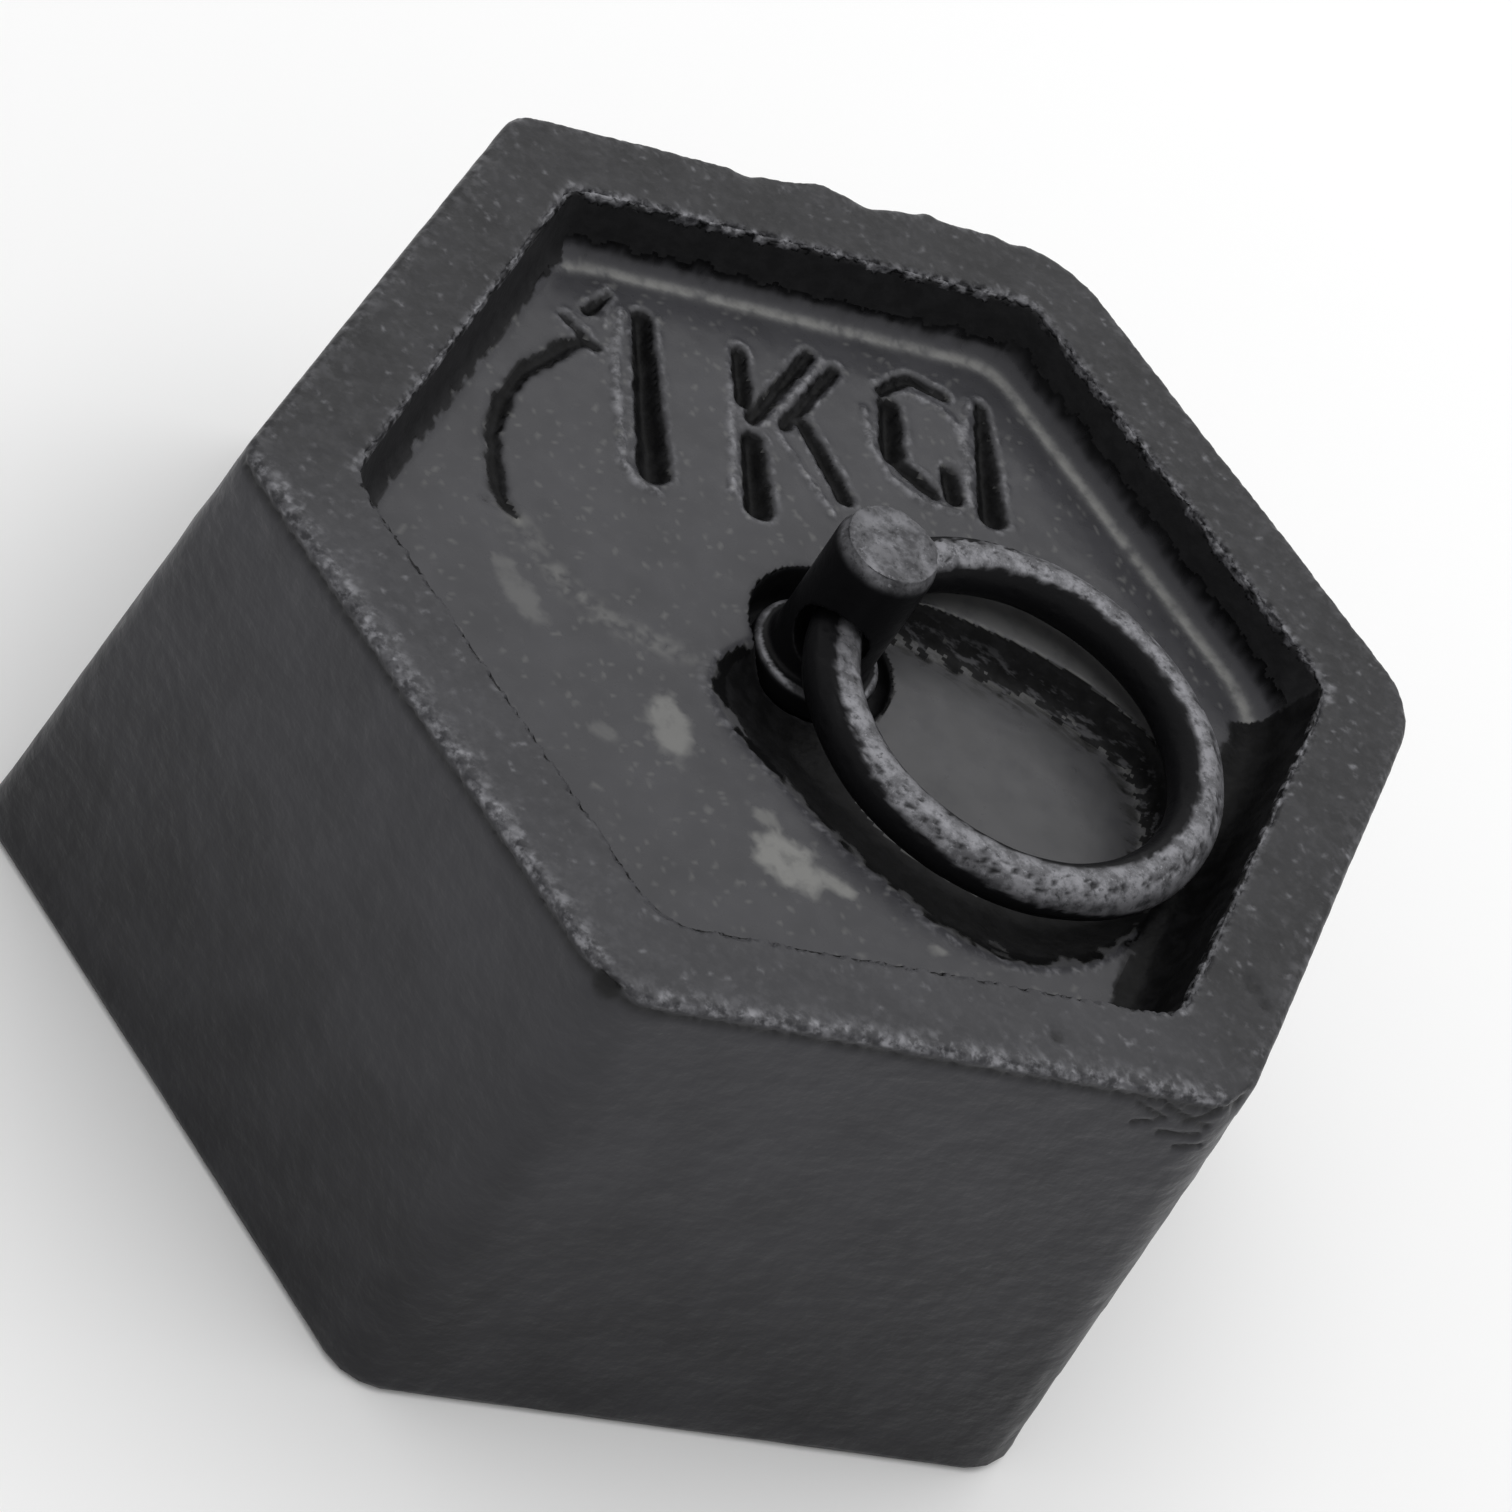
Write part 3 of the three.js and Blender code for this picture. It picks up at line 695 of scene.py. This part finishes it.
def painted_light_beyond_well(share, angle):
    """The strip of floor beyond the far edge of the well, painted paler as painted light against the ring's
    shadow and reflection there, and duller.
    """
    return 0.3 * ramp(-share, 0.0, 0.06) * (1 - ramp(-share, 1.8, 2.3)) * ramp(angle, 30, 50) \
        * (1 - ramp(angle, 120, 135))


def dust(points, band):
    """How thick the pale dust lies at points of the recess floor."""
    ragged = 0.36 * rough(points, 0.9, 4, 71.0)
    amount = 0.45 * band * ramp(rough(points, 0.7, 3, 73.0), -0.4, 0.5)
    amount = np.maximum(amount, 0.3 * ramp(rough(points, 0.5, 2, 75.0), 0.48, 0.66))
    for place, long, short, degrees, strength in STAINS:
        x, y = (points[:, i] - place[i] * MM for i in (0, 1))
        c, s = cos(radians(degrees)), sin(radians(degrees))
        away = np.hypot((c * x + s * y) / (long * MM), (c * y - s * x) / (short * MM))
        amount = np.maximum(amount, strength * (1 - ramp(away + ragged, 0.7, 1.2)))
    return amount


class WEIGHT_OT_casting(bpy.types.Operator):
    """Model the painted casting"""
    bl_idname = "weight.casting"
    bl_label = "Casting"

    def execute(self, context):
        sizes = context.scene.weight_sizes
        casting = cast_block()
        remesh(casting, sizes.voxel * (1), 4)
        weather_casting(casting, sizes)
        thin_out(casting)
        finish_piece(casting, "weight", "weight_body", painted_iron(context.scene))
        pick(casting, "FACE", lambda face: face.normal.z < -0.999)
        bpy.ops.mesh.faces_shade_flat()
        leave()
        give_painted_shade_material(casting, painted_shade_paint(context.scene))
        return {"FINISHED"}


def finish_piece(obj, body, node, material):
    """Shades the piece, gives it its material, ties it to its body and hides the node that it stands in for.
    """
    select_only(obj)
    bpy.ops.object.shade_smooth()
    obj.data.materials.clear()
    obj.data.materials.append(material)
    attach(obj, body)
    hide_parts(node)


# Post

POST_RADIUS = 3.2 * MM
SHANK_RADIUS = 3.0 * MM
RIVET_LOW_RADIUS, RIVET_HIGH_RADIUS = 4.2 * MM, 5.0 * MM
POST_VOXEL = 0.15 * MM
COLLAR_RADIUS = 4.1 * MM
COLLAR_TOP_Z = FLOOR_Z - POCKET_DEPTH + 1.9 * MM
EYE_RADIUS = RING_BAR / 2 + 0.5 * MM


class WEIGHT_OT_post(bpy.types.Operator):
    """Model the post with its worn head and its eye"""
    bl_idname = "weight.post"
    bl_label = "Post"

    def execute(self, context):
        pocket_z = FLOOR_Z - POCKET_DEPTH
        post = block("worn_post", SHANK_RADIUS, SHANK_RADIUS, POST_LOW.z + 1.0 * MM, POST_HIGH.z, 48)
        rivet = block("rivet", RIVET_LOW_RADIUS, RIVET_HIGH_RADIUS, POST_LOW.z, CAVITY_DEPTH, 48)
        round_edges(rivet, at_height(POST_LOW.z), 1.2 * MM, 4)
        combine(post, rivet, "UNION")
        collar = block("collar", COLLAR_RADIUS, COLLAR_RADIUS, pocket_z, COLLAR_TOP_Z, 64)
        round_edges(collar, at_height(COLLAR_TOP_Z), 0.5 * MM, 4)
        combine(post, collar, "UNION")
        shaft = block("shaft", POST_RADIUS, POST_RADIUS, pocket_z + 0.5 * MM, POST_HIGH.z, 64)
        round_edges(shaft, at_height(POST_HIGH.z), 0.75 * MM, 5)
        combine(post, shaft, "UNION")
        eye = block("eye", EYE_RADIUS, EYE_RADIUS, -6 * MM, 6 * MM, 48)
        eye.rotation_euler = (radians(90), 0, 0)
        eye.location = (0, 0, RING_CENTRE.z)
        settle(eye)
        combine(post, eye, "DIFFERENCE")
        remesh(post, POST_VOXEL, 4)

        points = get_points(post)
        normals = get_points(post, "normal")
        stands_out = convexity(post, 16)
        above = ramp(points[:, 2], COLLAR_TOP_Z, COLLAR_TOP_Z + 1 * MM)
        top = ramp(points[:, 2], POST_HIGH.z - 1.3 * MM, POST_HIGH.z - 0.5 * MM)
        dents = lumpy(points, 1.3, 2, 21.0)
        depth = above * 0.05 * MM * dents + top * 0.26 * MM * dents
        set_points(post, points - normals * depth[:, None])
        reach = np.hypot(points[:, 0], points[:, 1])
        on_edge = 0.7 * ramp(stands_out, 0.09 * MM, 0.25 * MM)
        # Painted highlight: a ring of grey iron round the top edge of the collar
        collar_highlight = bell(points[:, 2] - COLLAR_TOP_Z + 0.12 * MM, 0.16 * MM)
        collar_highlight *= reach > COLLAR_RADIUS - 0.45 * MM
        set_attribute(post, "wear_and_highlight", np.clip(top * (0.35 + 0.65 * dents) + on_edge * above + collar_highlight, 0, 1))
        iron = worn_and_lit_iron(context.scene, "black paint on forged post", paint_gloss=0.30, pit_size=0.5 * MM)
        finish_piece(post, "weight", "eye_stud", iron)
        return {"FINISHED"}


# Ring

def lit_and_rubbed(points, normals):
    """Where the ring is painted grey: on its upper side, and at the front and right on the outer side too,
    as a highlight where the hand also rubs it; and on its underside, which is worn where it lies.
    """
    away = points[:, :2] - np.array(RING_CENTRE.xy)
    outwards = away / np.hypot(*away.T)[:, None]
    lean = (1 + outwards[:, 0]) / 2
    facing = np.c_[0.35 + 0.5 * lean * outwards[:, 0], 0.5 * np.sqrt(lean) * outwards[:, 1],
                   np.ones(len(points))]
    facing /= np.linalg.norm(facing, axis=1)[:, None]
    turned = np.degrees(np.arccos(np.clip(np.einsum("ij,ij->i", facing, normals), -1, 1)))
    reach = 27 + 30 * np.sqrt(lean) + 9 * rough(points, 0.8, 3, 35.0)
    return np.maximum(1 - ramp(turned, reach - 7, reach + 5), 0.6 * ramp(-normals[:, 2], 0.8, 0.95))


class WEIGHT_OT_ring(bpy.types.Operator):
    """Model the forged ring"""
    bl_idname = "weight.ring"
    bl_label = "Ring"

    def execute(self, context):
        bpy.ops.mesh.primitive_torus_add(
            major_radius=RING_RADIUS, minor_radius=RING_BAR / 2, major_segments=320, minor_segments=60,
            location=RING_CENTRE)
        ring = bpy.context.object
        ring.name = "forged_ring"
        settle(ring)
        points = get_points(ring)
        normals = get_points(ring, "normal")
        broad = lumpy(points, 5, 2, 31.0)
        reach = np.hypot(points[:, 0] - RING_CENTRE.x, points[:, 1])
        rim = bell(reach - RING_RADIUS - 0.9 * MM, 0.35 * MM) * ramp(normals[:, 2], 0.2, 0.6)
        pits = ramp(rough(points, 0.42, 2, 33.0), 0.55 - 0.5 * rim, 0.75 - 0.5 * rim)
        depth = 0.14 * MM * broad + 0.10 * MM * pits
        set_points(ring, points - normals * depth[:, None])
        # The wear attribute paints the ring's lit sides grey as a highlight, and its underside as wear
        set_attribute(ring, "wear_and_highlight", np.clip(lit_and_rubbed(points, normals) - 0.8 * pits, 0, 1))
        iron = worn_and_lit_iron(context.scene, "black paint on forged ring", paint_gloss=0.32, pit_size=0.42 * MM)
        finish_piece(ring, "ring", "lifting_ring", iron)
        return {"FINISHED"}


# Lead

PLUG_VOXEL = 0.3 * MM


class WEIGHT_OT_lead(bpy.types.Operator):
    """Model the hammered plug and finish the lead inside"""
    bl_idname = "weight.lead"
    bl_label = "Lead"

    def execute(self, context):
        low, high = PLUG_LOW.z, PLUG_HIGH.z
        plug = block("hammered_plug", PLUG_HIGH.x - 0.15 * MM, PLUG_HIGH.x, low, high, 72)
        round_edges(plug, at_height(low), 0.4 * MM, 3)
        remesh(plug, PLUG_VOXEL, 4)
        points = get_points(plug)
        normals = get_points(plug, "normal")
        face = ramp(-normals[:, 2], 0.5, 0.9)
        blows = lumpy(points, 3.2, 2, 41.0)
        set_points(plug, points - normals * (face * 0.35 * MM * blows)[:, None])
        finish_piece(plug, "weight", "sealing_plug", dull_lead(context.scene))
        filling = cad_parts["adjusting_lead"]
        filling.data.materials.clear()
        filling.data.materials.append(dull_lead(context.scene))
        return {"FINISHED"}


# Materials

def add(tree, kind, inputs, output=0, **settings):
    """Adds a node with its settings, gives its inputs values or links, and returns one of its outputs."""
    node = tree.nodes.new(kind)
    for key, value in settings.items():
        setattr(node, key, value)
    for key, value in inputs.items():
        if isinstance(value, bpy.types.NodeSocket):
            tree.links.new(value, node.inputs[key])
        else:
            node.inputs[key].default_value = value
    return node.outputs[output] if node.outputs else None


def new_material(name):
    material = bpy.data.materials.new(name)
    material.use_nodes = True
    material.node_tree.nodes.clear()
    return material, partial(add, material.node_tree)


def shade(colour, factor=1.0):
    """A colour with its alpha, lighter or darker by a factor."""
    return (*[c * factor for c in colour], 1.0)


NOISE, RANGE, MATH, MIX = "ShaderNodeTexNoise", "ShaderNodeMapRange", "ShaderNodeMath", "ShaderNodeMix"
MAPPING, BUMP, ATTRIBUTE = "ShaderNodeMapping", "ShaderNodeBump", "ShaderNodeAttribute"
SHADER, MATERIAL_OUTPUT = "ShaderNodeBsdfPrincipled", "ShaderNodeOutputMaterial"
SMOOTH = {"interpolation_type": "SMOOTHSTEP"}
TIMES, PLUS, MINUS, LARGER = ({"operation": name, "use_clamp": True} for name in
                              ("MULTIPLY", "ADD", "SUBTRACT", "MAXIMUM"))
RGBA = {"data_type": "RGBA"}
EVEN, GRITTY = {"Detail": 3, "Roughness": 0.5}, {"Detail": 3, "Roughness": 0.6}
RUGGED, TORN = {"Detail": 4, "Roughness": 0.6}, {"Detail": 4, "Roughness": 0.65}
MIDDLE = {"From Min": 0.3, "From Max": 0.7}

# The paint is dusty and weak in gloss, so it mirrors less than a fresh one
PAINT_IOR = 1.40
PAINT_SHINE = 0.25
PAINTED_SHADE_SHINE = 0.05
FORGED_SHINE = 0.05


def painted_shade_colour(node, colours, painted_light_and_tone):
    """Colour of the painted shade, from black where it is deepest to dark grey on the walls."""
    return node(MIX, {0: painted_light_and_tone, 6: shade(colours.dirt_and_shade, 0.3), 7: shade(colours.dirt_and_shade, 1.8)}, 2, **RGBA)


def streaked_share(node, where, low, high):
    """Where short streaks show along the back of the well, at the edge of its painted shade."""
    drawn = node(MAPPING, {"Vector": where, "Rotation": (0, 0, radians(8)), "Scale": (0.3, 1, 1)})
    streaks = node(NOISE, {"Vector": drawn, "Scale": 1 / (0.5 * MM), **GRITTY}, "Fac")
    streaks = node(RANGE, {"Value": streaks, "From Min": low, "From Max": high}, **SMOOTH)
    streaked = node(ATTRIBUTE, {}, "Fac", attribute_name="streaked")
    return node(MATH, {0: streaked, 1: streaks}, **TIMES)


def painted_iron(scene):
    """Black paint over sand-cast iron: satin and finely wrinkled outside, smoother in the recess, with grey
    iron along the worn edges, pale dust on the recess floor and black dirt in the cuts, and with painted
    light and shade: grey and pale highlights at the foot of the far walls, black shade in the hollows,
    and paint that is lighter towards the top and the front."""
    colours, sizes = scene.weight_colours, scene.weight_sizes
    material, node = new_material("black paint on sand-cast iron")
    where = node("ShaderNodeTexCoord", {}, "Object")
    recess, wear_and_highlight, painted_shade, dirt_and_shade, dust_and_highlight_share, painted_light = (
        node(ATTRIBUTE, {}, "Fac", attribute_name=name)
        for name in ("recess", "wear_and_highlight", "painted_shade", "dirt_and_shade", "dust", "painted_light"))
    outside = node(MATH, {0: 1.0, 1: recess}, **MINUS)

    # Paint lighter and darker by the painted light and shade, and faded unevenly at random
    clouds = node(NOISE, {"Vector": where, "Scale": 1 / (5 * MM), "Detail": 4, "Roughness": 0.5}, "Fac")
    clouds = node(RANGE, {"Value": clouds, **MIDDLE, "To Min": -0.08, "To Max": 0.08}, **SMOOTH)
    painted_light_and_tone = node(MATH, {0: painted_light, 1: clouds}, **PLUS)
    colour = node(MIX, {0: painted_light_and_tone, 6: shade(colours.paint, 0.28), 7: shade(colours.paint, 1.6)}, 2, **RGBA)

    # Iron, painted shade, dirt and dust over it; the iron and the dust also carry painted highlights.
    # The painted shade counts as metal, because a black metal mirrors next to nothing.
    torn = node(NOISE, {"Vector": where, "Scale": 1 / (0.7 * MM), **RUGGED}, "Fac")
    torn = node(RANGE, {"Value": torn, "From Min": 0.36, "From Max": 0.64}, **SMOOTH)
    worn_and_lit = node(MATH, {0: wear_and_highlight, 1: torn}, **TIMES)
    painted_shade_share = node(RANGE, {"Value": painted_shade, "From Max": 0.5}, **SMOOTH)
    streaks = streaked_share(node, where, 0.44, 0.60)
    patch = node(NOISE, {"Vector": where, "Scale": 1 / (1.4 * MM), **RUGGED}, "Fac")
    patch = node(RANGE, {"Value": patch, "From Min": 0.25, "From Max": 0.55, "To Min": 0.55}, **SMOOTH)
    dust_and_highlight = node(MATH, {0: dust_and_highlight_share, 1: patch}, **TIMES)
    black = shade(colours.dirt_and_shade)
    for share, over in ((worn_and_lit, shade(colours.iron)), (painted_shade_share, painted_shade_colour(node, colours, painted_light_and_tone)),
                        (dirt_and_shade, black), (streaks, black), (dust_and_highlight, shade(colours.dust))):
        colour = node(MIX, {0: share, 6: colour, 7: over}, 2, **RGBA)
    metal_worn_and_lit = node(MATH, {0: worn_and_lit, 1: 0.3}, **TIMES)
    metal_of_painted_shade = node(MATH, {0: painted_shade_share, 1: 0.85}, **TIMES)
    metallic = node(MATH, {0: metal_worn_and_lit, 1: metal_of_painted_shade}, **LARGER)

    # Satin gloss, less of it where the dust and the painted highlights lie
    gloss = node(NOISE, {"Vector": where, "Scale": 1 / (1.6 * MM), **EVEN}, "Fac")
    gloss = node(RANGE, {"Value": gloss, **MIDDLE, "To Min": 0.36, "To Max": 0.46}, **SMOOTH)
    smoother = node(MATH, {0: recess, 1: 0.12}, **TIMES)
    duller = node(MATH, {0: dust_and_highlight, 1: 0.3}, **TIMES)
    gloss = node(MATH, {0: gloss, 1: smoother}, **MINUS)
    gloss = node(MATH, {0: gloss, 1: duller}, **PLUS)

    # Sand grain and leathery wrinkles, nearly all of them outside the recess
    sand = node(NOISE, {"Vector": where, "Scale": 1 / sizes.sand_grain, **GRITTY}, "Fac")
    share = node(MATH, {0: outside, 1: 0.85, 2: 0.12}, operation="MULTIPLY_ADD")
    sand = node(MATH, {0: sand, 1: share}, **TIMES)
    fine = node(BUMP, {"Strength": 0.4, "Distance": 0.05 * MM, "Height": sand})
    leather = node(MAPPING, {"Vector": where, "Scale": (0.85, 0.85, 1)})
    wrinkles = node(NOISE, {
        "Vector": leather, "Scale": 1 / (1.3 * MM), "Detail": 3, "Roughness": 0.45}, "Fac")
    share = node(MATH, {0: outside, 1: 0.8, 2: 0.08}, operation="MULTIPLY_ADD")
    wrinkles = node(MATH, {0: wrinkles, 1: share}, **TIMES)
    skin = node(BUMP, {"Strength": 0.6, "Distance": 0.4 * MM, "Height": wrinkles, "Normal": fine})
    surface = node(SHADER, {
        "Base Color": colour, "Metallic": metallic, "Roughness": gloss, "Normal": skin, "IOR": PAINT_IOR,
        "Specular IOR Level": PAINT_SHINE})
    node(MATERIAL_OUTPUT, {"Surface": surface})
    return material


def painted_shade_paint(scene):
    """Painted shade in the hollows: nearly black and almost without gloss, with pale flecks at its edge
    along the back of the well.
    """
    colours = scene.weight_colours
    material, node = new_material("black painted shade in the hollows")
    where = node("ShaderNodeTexCoord", {}, "Object")
    painted_light = node(ATTRIBUTE, {}, "Fac", attribute_name="painted_light")
    clouds = node(NOISE, {"Vector": where, "Scale": 1 / (1.2 * MM), **RUGGED}, "Fac")
    clouds = node(RANGE, {
        "Value": clouds, "From Min": 0.35, "From Max": 0.7, "To Min": -0.15, "To Max": 0.15}, **SMOOTH)
    painted_light_and_tone = node(MATH, {0: painted_light, 1: clouds}, **PLUS)
    # Pale flecks painted at the edge of the painted shade along the back of the well
    pale_flecks = streaked_share(node, where, 0.52, 0.68)
    painted_shade = painted_shade_colour(node, colours, painted_light_and_tone)
    colour = node(MIX, {0: pale_flecks, 6: painted_shade, 7: shade(colours.iron, 0.3)}, 2, **RGBA)
    lumps = node(NOISE, {"Vector": where, "Scale": 1 / (0.6 * MM), **EVEN}, "Fac")
    lumps = node(BUMP, {"Strength": 0.5, "Distance": 0.1 * MM, "Height": lumps})
    surface = node(SHADER, {
        "Base Color": colour, "Roughness": 0.42, "Normal": lumps, "Specular IOR Level": PAINTED_SHADE_SHINE})
    node(MATERIAL_OUTPUT, {"Surface": surface})
    return material


def worn_and_lit_iron(scene, name, paint_gloss, pit_size):
    """Black paint over forged iron, rubbed through to grey metal where the hand and the ring touch it,
    and painted grey as highlights on the lit sides of the ring and the edge of the post's collar.
    """
    colours = scene.weight_colours
    material, node = new_material(name)
    where = node("ShaderNodeTexCoord", {}, "Object")
    wear_and_highlight = node(ATTRIBUTE, {}, "Fac", attribute_name="wear_and_highlight")
    clouds = node(NOISE, {"Vector": where, "Scale": 1 / (1.1 * MM), **TORN}, "Fac")
    clouds = node(RANGE, {"Value": clouds, "From Min": 0.35, "From Max": 0.65}, **SMOOTH)
    metal = node(MIX, {0: clouds, 6: shade(colours.iron, 0.38), 7: shade(colours.iron, 0.95)}, 2, **RGBA)
    specks = node(NOISE, {"Vector": where, "Scale": 1 / (0.3 * MM), "Detail": 3, "Roughness": 0.7}, "Fac")
    specks = node(RANGE, {"Value": specks, "From Min": 0.58, "From Max": 0.72, "To Max": 0.9}, **SMOOTH)
    metal = node(MIX, {0: specks, 6: metal, 7: shade(colours.iron)}, 2, **RGBA)
    pits = node(NOISE, {"Vector": where, "Scale": 1 / pit_size, **TORN}, "Fac")
    torn = node(RANGE, {"Value": pits, "From Min": 0.26, "From Max": 0.46, "To Min": 0.35}, **SMOOTH)
    worn_and_lit = node(MATH, {0: wear_and_highlight, 1: torn}, **TIMES)
    colour = node(MIX, {0: worn_and_lit, 6: shade(colours.paint, 0.2), 7: metal}, 2, **RGBA)
    metallic = node(MATH, {0: worn_and_lit, 1: 0.4}, **TIMES)
    gloss = node(NOISE, {"Vector": where, "Scale": 1 / (1.1 * MM), **EVEN}, "Fac")
    gloss = node(RANGE, {
        "Value": gloss, **MIDDLE, "To Min": paint_gloss, "To Max": paint_gloss + 0.12}, **SMOOTH)
    skin = node(BUMP, {"Strength": 0.5, "Distance": 0.06 * MM, "Height": pits})
    surface = node(SHADER, {
        "Base Color": colour, "Metallic": metallic, "Roughness": gloss, "Normal": skin,
        "Specular IOR Level": FORGED_SHINE})
    node(MATERIAL_OUTPUT, {"Surface": surface})
    return material


def dull_lead(scene):
    """Poured and hammered lead: soft grey, matt, with darker oxide in its hollows."""
    colours = scene.weight_colours
    material, node = new_material("hammered lead")
    where = node("ShaderNodeTexCoord", {}, "Object")
    clouds = node(NOISE, {"Vector": where, "Scale": 1 / (2.5 * MM), **RUGGED}, "Fac")
    clouds = node(RANGE, {"Value": clouds, **MIDDLE}, **SMOOTH)
    colour = node(MIX, {0: clouds, 6: shade(colours.lead, 0.55), 7: shade(colours.lead)}, 2, **RGBA)
    gloss = node(RANGE, {"Value": clouds, "To Min": 0.5, "To Max": 0.65}, **SMOOTH)
    marks = node(NOISE, {"Vector": where, "Scale": 1 / (0.5 * MM), **EVEN}, "Fac")
    skin = node(BUMP, {"Strength": 0.4, "Distance": 0.05 * MM, "Height": marks})
    surface = node(SHADER, {"Base Color": colour, "Metallic": 0.7, "Roughness": gloss, "Normal": skin})
    node(MATERIAL_OUTPUT, {"Surface": surface})
    return material


# Stage

CAMERA_EYE = Vector((-9.76, -200.0, 206.86)) * MM
CAMERA_AIM = Vector((-0.30, -17.32, 35.4)) * MM
CAMERA_ROLL = radians(35.31)
CAMERA_LENS = 108.3
DIFFUSE_LEVEL = 0.6
LAMP_PLACE = (0.08, 0.33, 1.0)
LAMP_SIZE = 1.4
LAMP_POWER = 8.4


class WEIGHT_OT_stage(bpy.types.Operator):
    """Set up the pale floor, the soft light and the camera"""
    bl_idname = "weight.stage"
    bl_label = "Stage"

    def execute(self, context):
        scene = context.scene
        bpy.ops.mesh.primitive_plane_add(size=6.0, location=(0, 0, 0))
        floor = bpy.context.object
        floor.name = "studio_floor"
        floor.data.materials.append(matt_floor(scene))

        bpy.ops.object.light_add(type="AREA", location=LAMP_PLACE)
        lamp = bpy.context.object
        lamp.name = "soft_box"
        lamp.data.shape = "SQUARE"
        lamp.data.size = LAMP_SIZE
        lamp.data.energy = LAMP_POWER
        lamp.rotation_euler = (-lamp.location).to_track_quat("-Z", "Y").to_euler()

        light_world(scene)
        bpy.ops.object.camera_add(location=CAMERA_EYE)
        camera = bpy.context.object
        aim = (CAMERA_AIM - CAMERA_EYE).to_track_quat("-Z", "Y")
        camera.rotation_euler = (aim @ Quaternion((0, 0, 1), CAMERA_ROLL)).to_euler()
        camera.data.lens = CAMERA_LENS
        camera.data.sensor_width = 36
        camera.data.clip_start = 0.01
        camera.data.clip_end = 20
        scene.camera = camera
        scene.view_settings.view_transform = "Standard"
        return {"FINISHED"}


def matt_floor(scene):
    """Matt paper floor: pale and even."""
    material, node = new_material("matt paper floor")
    surface = node(SHADER, {"Base Color": shade(scene.weight_colours.floor), "Roughness": 0.9})
    node(MATERIAL_OUTPUT, {"Surface": surface})
    return material


def light_world(scene):
    """White all round for the eye and for reflections, and a plain soft level for everything else."""
    world = bpy.data.worlds.new("white studio")
    scene.world = world
    world.use_nodes = True
    world.node_tree.nodes.clear()
    node = partial(add, world.node_tree)
    camera, glossy, through = (node("ShaderNodeLightPath", {}, name) for name in (
        "Is Camera Ray", "Is Glossy Ray", "Is Transmission Ray"))
    seen = node(MATH, {0: camera, 1: glossy}, **LARGER)
    seen = node(MATH, {0: seen, 1: through}, **LARGER)
    level = node(RANGE, {"Value": seen, "To Min": DIFFUSE_LEVEL}, **SMOOTH)
    back = node("ShaderNodeBackground", {"Color": (1, 1, 1, 1), "Strength": level})
    node("ShaderNodeOutputWorld", {"Surface": back})


class WEIGHT_PT_panel(bpy.types.Panel):
    """Lists the pieces of the weight and their settings"""
    bl_idname = "WEIGHT_PT_panel"
    bl_label = "Hexagonal weight"
    bl_space_type = "VIEW_3D"
    bl_region_type = "UI"
    bl_category = "Weight"

    def draw(self, context):
        for group in (context.scene.weight_sizes, context.scene.weight_colours):
            for name in group.bl_rna.properties.keys():
                if name not in ("rna_type", "name"):
                    self.layout.prop(group, name)
        for operator in OPERATORS:
            self.layout.operator(operator.bl_idname)


OPERATORS = (WEIGHT_OT_casting, WEIGHT_OT_post, WEIGHT_OT_ring, WEIGHT_OT_lead, WEIGHT_OT_stage)
CLASSES = (WeightSizes, WeightColours, *OPERATORS, WEIGHT_PT_panel)


def register():
    for cls in CLASSES:
        bpy.utils.register_class(cls)
    bpy.types.Scene.weight_sizes = PointerProperty(type=WeightSizes)
    bpy.types.Scene.weight_colours = PointerProperty(type=WeightColours)


def unregister():
    del bpy.types.Scene.weight_colours
    del bpy.types.Scene.weight_sizes
    for cls in reversed(CLASSES):
        bpy.utils.unregister_class(cls)


def main():
    register()
    bpy.ops.object.select_all(action="DESELECT")
    bpy.ops.weight.casting()
    bpy.ops.weight.post()
    bpy.ops.weight.ring()
    bpy.ops.weight.lead()
    bpy.ops.weight.stage()


if __name__ == "__main__":
    main()
